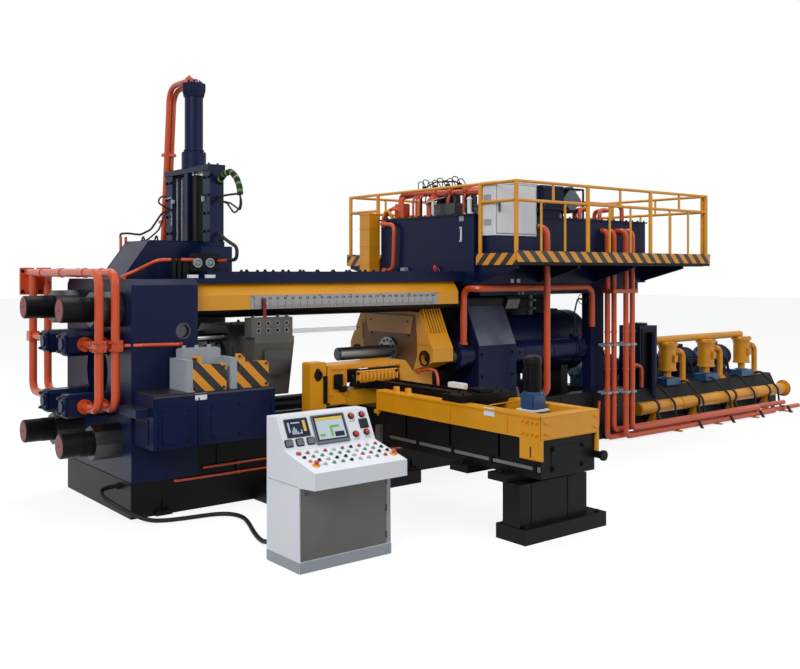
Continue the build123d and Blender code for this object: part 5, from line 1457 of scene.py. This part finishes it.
# %% [markdown]
# The moving crosshead pushes the stem. Its dark pockets hold the ends of the pull
# rods, bolts ring the stem's boss, and dark wipers sit over the ways. These pieces
# ride on the crosshead, so they follow it on its stroke.

# %% Crosshead and stem fittings
refinish("ram_stem", "ruler_plate")
CROSS_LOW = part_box("crosshead")[0]
SIDE_Y, SIDE_Z = 0.74, 1.38
work = bmesh.new()
for side in (-1, 1):
    add_ring(work, (CROSS_LOW[0] + 0.002, side * SIDE_Y, SIDE_Z),
        (CROSS_LOW[0] - 0.012, side * SIDE_Y, SIDE_Z), 0.104, 0.083, 36)
    add_rod(work, (CROSS_LOW[0] + 0.119, side * SIDE_Y, SIDE_Z),
        (CROSS_LOW[0] + 0.060, side * SIDE_Y, SIDE_Z), 0.060, 8)
    add_rod(work, (CROSS_LOW[0] + 0.119, side * SIDE_Y, SIDE_Z),
        (CROSS_LOW[0] + 0.020, side * SIDE_Y, SIDE_Z), 0.036, 20)
finish_piece("pull_rod_nuts", work, "black_paint", "crosshead")
spots = circle_spots((3.979, 0, AXIS_Z), (-1, 0, 0), 0.150, 12)
spots += [((CROSS_LOW[0], y, z), (-1, 0, 0)) for y in (-0.40, 0.40)
    for z in (1.04, 1.20, 1.66, 1.84)]
scatter("crosshead_bolts", STEEL_BOLTS, spots, "dark_steel", "crosshead")
work = bmesh.new()
add_prism(work, [(4.007, -0.46, 1.68), (4.007, 0.46, 1.68), (4.007, 0.52, 1.92),
    (4.007, -0.52, 1.92)], (-0.012, 0, 0))
for side in (-1, 1):
    add_prism(work, [(4.012, side * 0.60, 1.56), (4.012, side * 0.84, 1.56),
        (4.012, side * 0.70, 1.80), (4.012, side * 0.60, 1.80)],
        (-0.014, 0, 0))
add_box(work, (4.08, -0.35, 1.969), (4.28, 0.35, 1.990), 0.006)
finish_piece("crosshead_plates", work, "yellow_paint", "crosshead")
# Painted shade: a thin plate in dark ochre over the crosshead's -X face darkens the yellow there as
# if it lay in shadow.
paint("painted_shade_ochre", (0.165, 0.058, 0.008), 0.42, 0.25, 18)
work = bmesh.new()
add_prism(work, [(4.011, -0.44, 1.05), (4.011, 0.44, 1.05), (4.011, 0.58, 1.40),
    (4.011, 0.58, 1.62), (4.011, 0.54, 1.935),
    (4.011, -0.54, 1.935), (4.011, -0.58, 1.62), (4.011, -0.58, 1.40)], (-0.008, 0, 0))
finish_piece("painted_shade_face_plate", work, "painted_shade_ochre", "crosshead")
# Painted shade: the black pieces set lower between the yellow ribs stand in for the shadow in the
# gaps between them.
for name, slot, first in (("rib_row", "yellow_paint", 0), ("painted_shade_rib_gaps", "black_paint", 1)):
    work = bmesh.new()
    for number in range(first, 13, 2):
        x, lift = 4.035 + number * 0.023, 0.045 if first == 0 else 0.025
        add_prism(work, [(x, -0.60, 1.965), (x, -0.60, 1.97 + lift), (x, -0.66, 1.97 + lift),
            (x, -0.76 - lift, 1.72), (x, -0.73, 1.70)],
            (0.023, 0, 0))
    finish_piece(name, work, slot, "crosshead")
work = bmesh.new()
for side in (-1, 1):
    add_box(work, (CROSS_LOW[0] - 0.022, side * 0.30 - 0.11, 0.562),
        (CROSS_LOW[0] + 0.002, side * 0.30 + 0.11, 0.66), 0.004)
add_rod(work, (3.160, 0, AXIS_Z), (3.148, 0, AXIS_Z), 0.078, 32, 0.070)
finish_piece("crosshead_wipers", work, "dark_steel", "crosshead")

# %% [markdown]
# The container's housing has a ring bolted over its liner and rims round its
# side holes. All of this rides on the container.

# %% Container fittings
work = bmesh.new()
add_box(work, (1.925, -0.832, 1.792), (2.860, -0.776, 1.842), 0.004)
add_prism(work, [(2.860, -0.832, 1.792), (2.860, -0.776, 1.792), (2.860, -0.776, 1.842),
    (2.860, -0.832, 1.842)], (0.001, 0, 0))
add_rod(work, (2.858, -0.804, 1.817), (2.925, -0.804, 1.829), 0.024, 4, 0.006)
finish_piece("container_bar", work, "polished_steel", "container")
work = bmesh.new()
add_ring(work, (1.391, 0, AXIS_Z), (1.372, 0, AXIS_Z), 0.300, 0.202, 44)
for side in (-1, 1):
    add_box(work, (1.560, side * 0.8815 - 0.004, 1.35),
        (1.90, side * 0.8815 + 0.001, 1.62) if side > 0 else (1.90, -0.8805, 1.62), 0.002)
    add_box(work, (1.385, side * 0.44 - 0.03, 1.20), (1.400, side * 0.44 + 0.03, 1.66), 0.004)
finish_piece("container_rings", work, "dark_steel", "container")
spots = circle_spots((1.372, 0, AXIS_Z), (-1, 0, 0), 0.252, 16)
spots += circle_spots((1.990, 0, AXIS_Z), (1, 0, 0), 0.300, 16)
for side in (-1, 1):
    spots += [((x, side * 0.800, 1.985), (0, 0, 1)) for x in (1.46, 1.62, 1.78, 1.90)]
    spots += [((x, side * 0.33, 1.880), (0, 0, 1)) for x in (1.45, 1.65, 1.90)]
scatter("container_bolts", STEEL_BOLTS, spots, "dark_steel", "container")
work = bmesh.new()
for side in (-1, 1):
    for column in range(4):
        for row in range(2):
            x, z = 1.49 + column * 0.12, 1.84 + row * 0.08
            add_ring(work, (x, side * 0.8795, z), (x, side * 0.884, z), 0.028, 0.020, 20)
finish_piece("hole_rims", work, "ruler_plate", "container")

# %% [markdown]
# The front platen and the die carrier are heavy castings that are machined where
# they meet. Bolts hold the striped guard plates, dark strips line the slide bed,
# and bolted covers with thin ribs close its near side.

# %% Die carrier and slide bed
PLATE_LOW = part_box("die_slide_plates")[0]
spots = []
for left in (0.469, 0.964):
    spots += [((left + dx, PLATE_LOW[1], z), (0, -1, 0)) for dx in (0.03, 0.345)
        for z in (1.32, 1.53)]
    spots += [((left + 0.03, PLATE_LOW[1], 1.62), (0, -1, 0))]
scatter("guard_plate_bolts", STEEL_BOLTS, spots, "dark_steel", "die_carrier",
    sizes={"Head radius": 0.010, "Head depth": 0.010, "Washer radius": 0.015})
work = bmesh.new()
for left in (0.399, 0.894):
    add_box(work, (left - 0.004, -1.345, 1.60), (left + 0.068, -0.975, 1.612), 0.003)
    add_box(work, (left + 0.010, -1.353, 1.33), (left + 0.058, -1.349, 1.42), 0.002)
add_box(work, (0.48, -1.100, 1.700), (0.88, -0.975, 1.708), 0.002)
for x in (0.52, 0.66, 0.80):
    add_rod(work, (x, -1.04, 1.70), (x, -1.04, 1.735), 0.022, 6)
finish_piece("carrier_caps", work, "light_grey_paint", "die_carrier")
work = bmesh.new()
add_box(work, (0.745, -0.955, 1.558), (1.055, -0.500, 1.566), 0.002)
add_ring(work, (0.742, 0, AXIS_Z), (0.734, 0, AXIS_Z), 0.110, 0.056, 40)
finish_piece("carrier_steel", work, "ruler_plate", "die_carrier")
work = bmesh.new()
add_box(work, (0.026, -1.399, 1.2905), (0.385, -0.935, 1.300), 0.002)
add_box(work, (-0.115, -1.33, 1.1605), (0.022, -0.935, 1.166), 0.002)
add_box(work, (0.03, -1.404, 1.262), (1.38, -1.399, 1.284), 0.002)
finish_piece("bed_strips", work, "dark_steel")
work = bmesh.new()
add_box(work, (0.12, -1.406, 0.80), (0.42, -1.398, 1.16), 0.006)
add_box(work, (0.64, -1.406, 0.80), (1.30, -1.398, 1.16), 0.006)
for x in (0.08, 0.50, 1.34):
    add_prism(work, [(x, -1.400, 0.762), (x, -1.424, 0.762), (x, -1.404, 1.24), (x, -1.400, 1.24)],
        (0.016, 0, 0))
add_box(work, (0.016, -1.30, 0.80), (0.026, -1.00, 1.05), 0.004)
finish_piece("bed_covers", work, "navy_paint")
spots = [((x, -1.406, z), (0, -1, 0)) for x in (0.15, 0.39, 0.67, 0.97, 1.27) for z in (0.83, 1.13)]
scatter("bed_cover_bolts", NAVY_BOLTS, spots, "navy_paint", sizes=radii(0.010, 0.015))

# %% [markdown]
# The base is fabricated in black. Two thin pipes run along its near side, foot
# plates with jacking screws stand along the floor line, and a ledge marks where
# the sole plate meets the box above.

# %% Base pipes and feet
work = bmesh.new()
for z in (0.430, 0.330):
    add_pipe(work, [(0.78, -0.945, z), (3.80, -0.945, z)] if z > 0.4 else [(0.62, -0.945, z),
        (3.80, -0.945, z)], 0.014, 0.02, 12)
add_pipe(work, [(0.62, -0.945, 0.330), (0.50, -0.945, 0.330), (0.46, -0.925, 0.330)], 0.014, 0.03,
    12)
add_pipe(work, [(5.86, -0.99, 0.20), (7.04, -0.99, 0.20), (7.10, -1.02, 0.24),
    (7.10, -1.04, 0.60)], 0.020, 0.05, 12)
for x in (1.2, 2.2, 3.3):
    for z in (0.330, 0.430):
        add_ring(work, (x - 0.012, -0.945, z), (x + 0.012, -0.945, z), 0.020, 0.0145, 16)
finish_piece("base_pipes", work, "orange_paint")
work = bmesh.new()
for x in (0.25, 3.55, 4.50, 5.45, 6.40, 7.35):
    add_box(work, (x, -0.965, 0.0), (x + 0.18, -0.915, 0.045), 0.004)
    add_box(work, (x, 0.915, 0.0), (x + 0.18, 0.965, 0.045), 0.004)
    for side in (-1, 1):
        add_prism(work, [(x + 0.085, side * 0.918, 0.045), (x + 0.085, side * 0.962, 0.045),
            (x + 0.085, side * 0.918, 0.22)], (0.012, 0, 0))
add_box(work, (0.0, -0.928, 0.345), (0.73, -0.918, 0.365), 0.003)
add_box(work, (-0.008, -0.915, 0.345), (0.002, 0.915, 0.365), 0.003)
for x in (1.2, 2.2, 3.3):
    add_box(work, (x - 0.02, -0.946, 0.305), (x + 0.02, -0.918, 0.455), 0.004)
for side in (-1, 1):
    for x in (0.95, 1.75, 2.55, 3.35, 4.15, 5.70, 6.40, 7.10):
        add_prism(work, [(x, side * 0.919, 0.40), (x, side * 0.940, 0.40), (x, side * 0.924, 0.70),
            (x, side * 0.919, 0.70)], (0.016, 0, 0))
finish_piece("base_feet", work, "black_paint")
spots = []
for x in (0.25, 3.55, 4.50, 5.45, 6.40, 7.35):
    for side in (-1, 1):
        spots += [((x + dx, side * 0.945, 0.045), (0, 0, 1)) for dx in (0.04, 0.14)]
spots += [((x, -1.40, 0.150), (0, 0, 1)) for x in (1.5, 2.1, 2.7, 3.25)]
scatter("base_anchor_bolts", BLACK_BOLTS, spots, "black_paint")

# %% [markdown]
# The rear platen takes the force of the main cylinder. A thin sloped plate in a
# lighter, glossier navy covers its shoulder as a painted highlight, standing in for
# the light that falls on the slope; bolts circle the cylinder flange, and bands of
# weld and lifting pads sit along the barrel.

# %% Rear platen and cylinders
# Painted highlight: this lighter navy makes the shoulder slope look lit.
paint("painted_highlight_navy", (0.070, 0.085, 0.130), 0.22, 0.30, 40, coat=0.4)
work = bmesh.new()
for side in (-1, 1):
    low = Vector((0, side * 0.920, 1.510))
    high = Vector((0, side * 0.670, 2.030))
    out = Vector((0, side * 0.52, 0.25)).normalized() * 0.004
    corners = [low + out * 0.2 + Vector((4.805, 0, 0)), low + out * 0.2 + Vector((5.485, 0, 0)),
        high + out * 0.2 + Vector((5.485, 0, 0)), high + out * 0.2 + Vector((4.805, 0, 0))]
    add_prism(work, corners, out)
finish_piece("painted_highlight_sheets", work, "painted_highlight_navy")
spots = circle_spots((5.660, 0, AXIS_Z), (1, 0, 0), 0.500, 20, 0.1)
for side in (-1, 1):
    spots += circle_spots((4.500, side * SIDE_Y, SIDE_Z), (-1, 0, 0), 0.130, 10)
    spots += circle_spots((5.570, side * SIDE_Y, SIDE_Z), (1, 0, 0), 0.158, 10)
    spots += circle_spots((7.000, side * SIDE_Y, SIDE_Z), (1, 0, 0), 0.120, 8)
    spots += [((x, side * 0.920, z), (0, side, 0)) for x in (4.86, 5.43)
        for z in (0.80, 1.10, 1.40)]
scatter("rear_bolts", NAVY_BOLTS, spots, "navy_paint")
work = bmesh.new()
for x in (5.80, 6.55, 7.30):
    add_ring(work, (x, 0, AXIS_Z), (x + 0.014, 0, AXIS_Z), 0.478, 0.468, 48)
for x in (5.95, 7.2):
    add_box(work, (x, -0.05, 1.885), (x + 0.10, 0.05, 1.925), 0.006)
add_rod(work, (7.660, 0, AXIS_Z), (7.700, 0, AXIS_Z), 0.20, 12, 0.18)
for side in (-1, 1):
    for x in (5.72, 6.30, 6.78):
        add_ring(work, (x, side * SIDE_Y, SIDE_Z), (x + 0.012, side * SIDE_Y, SIDE_Z), 0.157,
            0.149, 36)
    add_rod(work, (7.000, side * SIDE_Y, SIDE_Z), (7.030, side * SIDE_Y, SIDE_Z), 0.08, 24)
    add_rod(work, (6.90, side * 0.74, 1.54), (6.90, side * 0.74, 1.575), 0.075, 24)
finish_piece("cylinder_bands", work, "navy_paint")
work = bmesh.new()
for side in (-1, 1):
    add_ring(work, (4.500, side * SIDE_Y, SIDE_Z), (4.486, side * SIDE_Y, SIDE_Z), 0.085, 0.062, 32)
finish_piece("rod_seals", work, "ruler_plate")
work = bmesh.new()
for x, radius in ((5.88, 0.24), (6.36, 0.30), (6.84, 0.17)):
    add_rod(work, (x, 0, 1.86), (x, 0, 2.19), radius, 36)
    for z in (1.94, 2.06, 2.15):
        add_rod(work, (x, 0, z), (x, 0, z + 0.03), radius + 0.05, 36)
add_box(work, (5.505, -0.40, 1.86), (5.66, 0.40, 2.19), 0.008)
finish_piece("prefill_valves", work, "black_paint")

# %% [markdown]
# A valve with a small handwheel stands by the near side cylinder, with black
# hoses below it. The wheel's rim is a closed chain of short bars, which is the
# plainest way to bend a thin bar into a circle.

# %% Handwheel, hoses and pale strips
work = bmesh.new()
ring_places = [(6.836, -0.945 + 0.075 * math.cos(math.pi * n / 12),
    2.098 + 0.075 * math.sin(math.pi * n / 12)) for n in range(24)]
for here, there in zip(ring_places, ring_places[1:] + ring_places[:1]):
    add_rod(work, here, there, 0.006, 8)
add_rod(work, (6.836, -1.018, 2.098), (6.836, -0.872, 2.098), 0.005, 8)
add_rod(work, (6.836, -0.945, 2.02), (6.836, -0.945, 2.18), 0.005, 8)
add_rod(work, (6.80, -0.945, 2.098), (6.86, -0.945, 2.098), 0.014, 12)
add_pipe(work, [(6.86, -0.945, 2.098), (6.88, -0.945, 2.098), (6.90, -0.80, 2.10),
    (6.90, -0.74, 1.90), (6.90, -0.74, 1.57)], 0.012, 0.06, 10)
add_pipe(work, [(7.02, -0.74, 1.38), (7.16, -0.74, 1.36), (7.20, -0.80, 1.20), (7.12, -0.90, 1.06),
    (7.05, -0.93, 1.02)], 0.014, 0.08, 10)
add_pipe(work, [(7.02, -0.70, 1.33), (7.20, -0.66, 1.25), (7.22, -0.74, 1.00), (7.12, -0.86, 0.90),
    (7.05, -0.93, 0.86)], 0.012, 0.08, 10)
finish_piece("hand_valve", work, "cable_black")
work = bmesh.new()
for y in (-0.82, -0.90, -0.97, -1.04):
    add_box(work, (5.498, y - 0.012, 2.185), (5.504, y + 0.012, 2.30), 0.002)
for x in (5.30, 5.42):
    add_box(work, (x, -1.01, 2.345), (x + 0.06, -1.003, 2.40), 0.002)
finish_piece("light_strips", work, "white_paint")

# %% [markdown]
# Four motor and pump sets feed the press. Motors are finned along their length,
# so each fin is a long thin bar placed round the frame. Filters stand on blue
# heads, and the fat suction pipe shows thin joint rings with hoses over it.

# %% Pump station
SKID_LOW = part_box("pump_skid")[0]
MOTOR_Y, MOTOR_Z = 0.42, 0.86
FILTER_Y = -0.42
MOTOR_X = [SKID_LOW[0] + 0.300 + 1.120 * number for number in range(4)]
spots = []
for x in MOTOR_X:
    for number in range(20):
        angle = math.radians(-30 + 240 * number / 19)
        spots.append(((x + 0.31, 0.42 + 0.222 * math.cos(angle), 0.86 + 0.222 * math.sin(angle)),
            (1, 0, 0)))
ribs = scatter_tree("motor_ribs", (("Rib", 4, 0.0085, 0.54, 0.0),), FINISHES["navy_paint"])
scatter("motor_rib_rows", ribs, spots, "navy_paint")
work = bmesh.new()
for x in MOTOR_X:
    for place in (x + 0.012, x + 0.592):
        add_ring(work, (place, MOTOR_Y, MOTOR_Z), (place + 0.022, MOTOR_Y, MOTOR_Z), 0.228, 0.212,
            40)
    add_ring(work, (x + 0.70, MOTOR_Y, MOTOR_Z), (x + 0.728, MOTOR_Y, MOTOR_Z), 0.182, 0.172, 40)
    add_box(work, (x + 0.175, 0.325, 1.149), (x + 0.405, 0.515, 1.162), 0.004)
    add_rod(work, (x + 0.40, 0.42, 1.09), (x + 0.44, 0.42, 1.09), 0.022, 12)
finish_piece("motor_rings", work, "navy_paint")
spots = []
for x in MOTOR_X:
    spots += circle_spots((x - 0.300, MOTOR_Y, MOTOR_Z), (-1, 0, 0), 0.105, 6)
    spots += [((x + dx, 0.42 + dy, 0.600 + 0.012), (0, 0, 1)) for dx in (0.115, 0.505)
        for dy in (-0.205, 0.205)]
scatter("pump_bolts", STEEL_BOLTS, spots, "dark_steel")
work = bmesh.new()
for x in MOTOR_X:
    add_box(work, (x + 0.08, 0.42 - 0.225, 0.600), (x + 0.54, 0.42 + 0.225, 0.612), 0.003)
    add_rod(work, (x - 0.150, 0.42, 0.985), (x - 0.150, 0.42, 1.055), 0.045, 16)
for x in MOTOR_X[1:]:
    add_rod(work, (x, FILTER_Y, 0.708), (x, FILTER_Y, 0.726), 0.105, 28)
    for angle in range(6):
        turn = math.pi * angle / 3
        add_rod(work, (x + 0.155 * math.cos(turn), -0.42 + 0.155 * math.sin(turn), 1.248),
            (x + 0.155 * math.cos(turn), -0.42 + 0.155 * math.sin(turn), 1.302), 0.014, 6)
finish_piece("pump_heads", work, "pump_blue")

# %% [markdown]
# Three filters stand in a row. Thin rings at the top and the bottom of each body
# and a bolted lid catch the light where a real flange would.

# %% Filter rings and lids
work = bmesh.new()
for x in MOTOR_X[1:]:
    add_ring(work, (x, FILTER_Y, 0.835), (x, FILTER_Y, 0.860), 0.152, 0.138, 36)
    add_ring(work, (x, FILTER_Y, 1.205), (x, FILTER_Y, 1.235), 0.152, 0.138, 36)
    add_rod(work, (x, FILTER_Y, 1.29), (x, FILTER_Y, 1.31), 0.120, 32, 0.105)
    add_box(work, (x - 0.05, -0.600, 0.98), (x + 0.05, -0.552, 1.10), 0.008)
    add_rod(work, (x + 0.43, FILTER_Y, 0.624), (x + 0.43, FILTER_Y, 0.640), 0.070, 28)
    for place in (x + 0.20, x + 0.26):
        add_ring(work, (place, -0.42, 1.14), (place + 0.014, -0.42, 1.14), 0.062, 0.048, 24)
finish_piece("filter_rings", work, "yellow_paint")
spots = []
for x in MOTOR_X[1:]:
    spots += circle_spots((x, FILTER_Y, 1.290), (0, 0, 1), 0.148, 10)
    spots += circle_spots((x + 0.43, FILTER_Y, 0.625), (0, 0, 1), 0.080, 6)
scatter("filter_bolts", YELLOW_BOLTS, spots, "yellow_paint", sizes=SMALL_BOLT)

# %% [markdown]
# Thin rings mark the joints of the suction pipe. Black hoses with wide bends
# drape over it, and black legs stand under the pipes.

# %% Suction pipe and hoses
SUCTION_LOW, SUCTION_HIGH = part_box("suction_pipe")
SUCTION_Y, SUCTION_Z = -0.76, 0.33
work = bmesh.new()
joints = [SUCTION_LOW[0] + 0.02, SUCTION_LOW[0] + 1.10, SUCTION_LOW[0] + 2.20,
    SUCTION_LOW[0] + 3.30]
for x in joints:
    add_ring(work, (x, SUCTION_Y, SUCTION_Z), (x + 0.012, SUCTION_Y, SUCTION_Z), 0.108, 0.098, 36)
    add_ring(work, (x + 0.020, SUCTION_Y, SUCTION_Z), (x + 0.032, SUCTION_Y, SUCTION_Z), 0.108,
        0.098, 36)
add_ring(work, (SUCTION_HIGH[0] - 0.04, SUCTION_Y, SUCTION_Z),
    (SUCTION_HIGH[0] - 0.012, SUCTION_Y, SUCTION_Z), 0.138, 0.098, 36)
finish_piece("suction_joints", work, "yellow_paint")
work = bmesh.new()
for number in range(5):
    x = SUCTION_LOW[0] + 0.75 + number * 0.78
    add_pipe(work, [(x, -0.46, 0.62), (x + 0.02, -0.58, 0.66), (x + 0.04, -0.76, 0.50),
        (x + 0.05, -0.90, 0.38),
        (x + 0.05, -0.93, 0.12), (x + 0.07, -0.96, 0.02)], 0.018, 0.12, 10)
for number in range(4):
    x = SUCTION_LOW[0] + 0.43 + number * 1.10
    for side in (-1, 1):
        add_prism(work, [(x - 0.02, -0.76 + side * 0.07, 0.27),
            (x - 0.02, -0.76 + side * 0.20, 0.0), (x - 0.02, -0.76 + side * 0.15, 0.0),
            (x - 0.02, -0.76 + side * 0.04, 0.24)], (0.05, 0, 0))
    add_ring(work, (x - 0.02, SUCTION_Y, SUCTION_Z), (x + 0.03, SUCTION_Y, SUCTION_Z), 0.112,
        0.099, 32)
for x in MOTOR_X:
    add_pipe(work, [(x - 0.15, 0.42, 1.04), (x - 0.15, 0.30, 1.16), (x - 0.10, 0.05, 1.10),
        (x - 0.05, -0.15, 0.85), (x - 0.05, -0.20, 0.61)], 0.026, 0.14, 10)
for x in (9.30, 10.20, 11.10, 12.00):
    for side in (-1, 1):
        add_prism(work, [(x, -1.19 + side * 0.02, 0.11), (x, -1.19 + side * 0.06, 0.11),
            (x, -1.19 + side * 0.13, 0), (x, -1.19 + side * 0.09, 0)],
            (0.035, 0, 0))
finish_piece("pump_hoses", work, "cable_black")

# %% [markdown]
# A tall box beside the first pump has a slim upright motor before it. Rings mark
# the joints of the four risers, and grey clamps hold the risers together.

# %% Motor box and risers
BOX_X = SKID_LOW[0] + 0.600
work = bmesh.new()
add_rod(work, (BOX_X + 0.225, -0.27, 1.610), (BOX_X + 0.225, -0.27, 1.650), 0.150, 32)
for z in (0.75, 1.15, 1.50):
    add_box(work, (BOX_X - 0.008, -0.470, z), (BOX_X + 0.458, -0.464, z + 0.012), 0.002)
add_box(work, (BOX_X + 0.03, -0.490, 0.70), (BOX_X + 0.42, -0.478, 1.56), 0.006)
finish_piece("motor_box_panels", work, "black_paint")
work = bmesh.new()
add_rod(work, (BOX_X + 0.25, -0.545, 0.43), (BOX_X + 0.25, -0.545, 1.50), 0.055, 24)
for z in (0.62, 0.90, 1.24, 1.48):
    add_rod(work, (BOX_X + 0.25, -0.545, z), (BOX_X + 0.25, -0.545, z + 0.02), 0.064, 24)
finish_piece("box_motor", work, "navy_paint")
work = bmesh.new()
add_pipe(work, [(BOX_X - 0.02, -0.52, 0.62), (BOX_X - 0.02, -0.52, 0.95),
    (BOX_X - 0.25, -0.52, 1.02), (BOX_X - 0.25, -0.52, 0.62)], 0.035, 0.10)
add_ring(work, (SUCTION_HIGH[0] - 0.006, SUCTION_Y, SUCTION_Z),
    (SUCTION_HIGH[0] + 0.006, SUCTION_Y, SUCTION_Z), 0.150, 0.05, 36)
RISER_X = (7.200, 7.350, 7.500, 7.650)
RISER_Y = (-1.110, -1.110, -1.210, -1.210)
for x, y in zip(RISER_X, RISER_Y):
    for z in (2.66, 1.60, 1.05, 0.52):
        add_ring(work, (x, y, z), (x, y, z + 0.02), 0.047, 0.0405, 20)
finish_piece("pump_orange", work, "orange_paint")
work = bmesh.new()
for z in (0.70, 1.40):
    for x, y in zip(RISER_X, RISER_Y):
        add_box(work, (x - 0.052, y - 0.052, z), (x + 0.052, y + 0.052, z + 0.035), 0.006)
    add_box(work, (7.13, -1.060, z - 0.012), (7.72, -1.045, z + 0.047), 0.003)
    for x in (7.22, 7.62):
        add_box(work, (x - 0.02, -1.050, z), (x + 0.02, -0.918, z + 0.035), 0.003)
finish_piece("riser_clamps", work, "light_grey_paint")
# %% [markdown]
# The floor and the background look white, yet add no light to the machine. Light
# Path tells both shaders which rays come from the camera or from a reflection,
# and only those see the extra glow. The floor keeps a little ordinary shading
# under its glow, so the machine's shadow still falls on it.

# %% Floor, world and lamps
floor_mesh = bpy.data.meshes.new("floor")
floor_mesh.from_pydata(
    [(-60, -60, 0), (80, -60, 0), (80, 80, 0), (-60, 80, 0)], [], [(0, 1, 2, 3)])
floor = bpy.data.objects.new("floor", floor_mesh)
bpy.context.scene.collection.objects.link(floor)
floor_material = bpy.data.materials.new("floor")
floor_material.use_nodes = True
floor_tree = floor_material.node_tree
floor_shader = floor_tree.nodes["Principled BSDF"]
floor_shader.inputs["Base Color"].default_value = (0.30, 0.30, 0.30, 1)
floor_shader.inputs["Roughness"].default_value = 0.9
floor_shader.inputs["Specular IOR Level"].default_value = 0.0
floor_shader.inputs["Emission Color"].default_value = (1, 1, 1, 1)


def seen_rays(tree):
    """1 for rays from the camera and for those seen in gloss or through glass."""
    paths = tree.nodes.new("ShaderNodeLightPath")
    nearly = tree.nodes.new("ShaderNodeMath")
    nearly.operation = "MAXIMUM"
    tree.links.new(paths.outputs["Is Camera Ray"], nearly.inputs[0])
    tree.links.new(paths.outputs["Is Glossy Ray"], nearly.inputs[1])
    every = tree.nodes.new("ShaderNodeMath")
    every.operation = "MAXIMUM"
    tree.links.new(nearly.outputs["Value"], every.inputs[0])
    tree.links.new(paths.outputs["Is Transmission Ray"], every.inputs[1])
    return every.outputs["Value"]


glow = floor_tree.nodes.new("ShaderNodeMath")
glow.operation = "MULTIPLY"
glow.inputs[1].default_value = 0.80
floor_tree.links.new(seen_rays(floor_tree), glow.inputs[0])
floor_tree.links.new(glow.outputs["Value"], floor_shader.inputs["Emission Strength"])
floor_mesh.materials.append(floor_material)

world = bpy.data.worlds.new("studio")
bpy.context.scene.world = world
world.use_nodes = True
sky = world.node_tree
background = sky.nodes["Background"]
background.inputs["Color"].default_value = (0.93, 0.96, 1.0, 1)
background.inputs["Strength"].default_value = 0.45
white = sky.nodes.new("ShaderNodeBackground")
white.inputs["Color"].default_value = (1, 1, 1, 1)
white.inputs["Strength"].default_value = 1.0
choose = sky.nodes.new("ShaderNodeMixShader")
sky.links.new(seen_rays(sky), choose.inputs["Fac"])
sky.links.new(background.outputs["Background"], choose.inputs[1])
sky.links.new(white.outputs["Background"], choose.inputs[2])
sky.links.new(choose.outputs["Shader"], sky.nodes["World Output"].inputs["Surface"])


def area_lamp(name, place, target, size, power):
    """A soft square lamp that faces a point."""
    lamp = bpy.data.objects.new(name, bpy.data.lights.new(name, "AREA"))
    lamp.data.size = size
    lamp.data.energy = power
    lamp.location = place
    aim = Vector(target) - Vector(place)
    lamp.rotation_euler = aim.to_track_quat("-Z", "Y").to_euler()
    bpy.context.scene.collection.objects.link(lamp)


area_lamp("key", (-11, -9, 11), (3, 0, 1.5), 7, 1500)
area_lamp("fill", (12, -14, 8), (6, 0, 1.5), 9, 480)
area_lamp("top", (5, 2, 14), (5, 0, 1), 9, 700)

bpy.context.scene.view_settings.view_transform = "Standard"
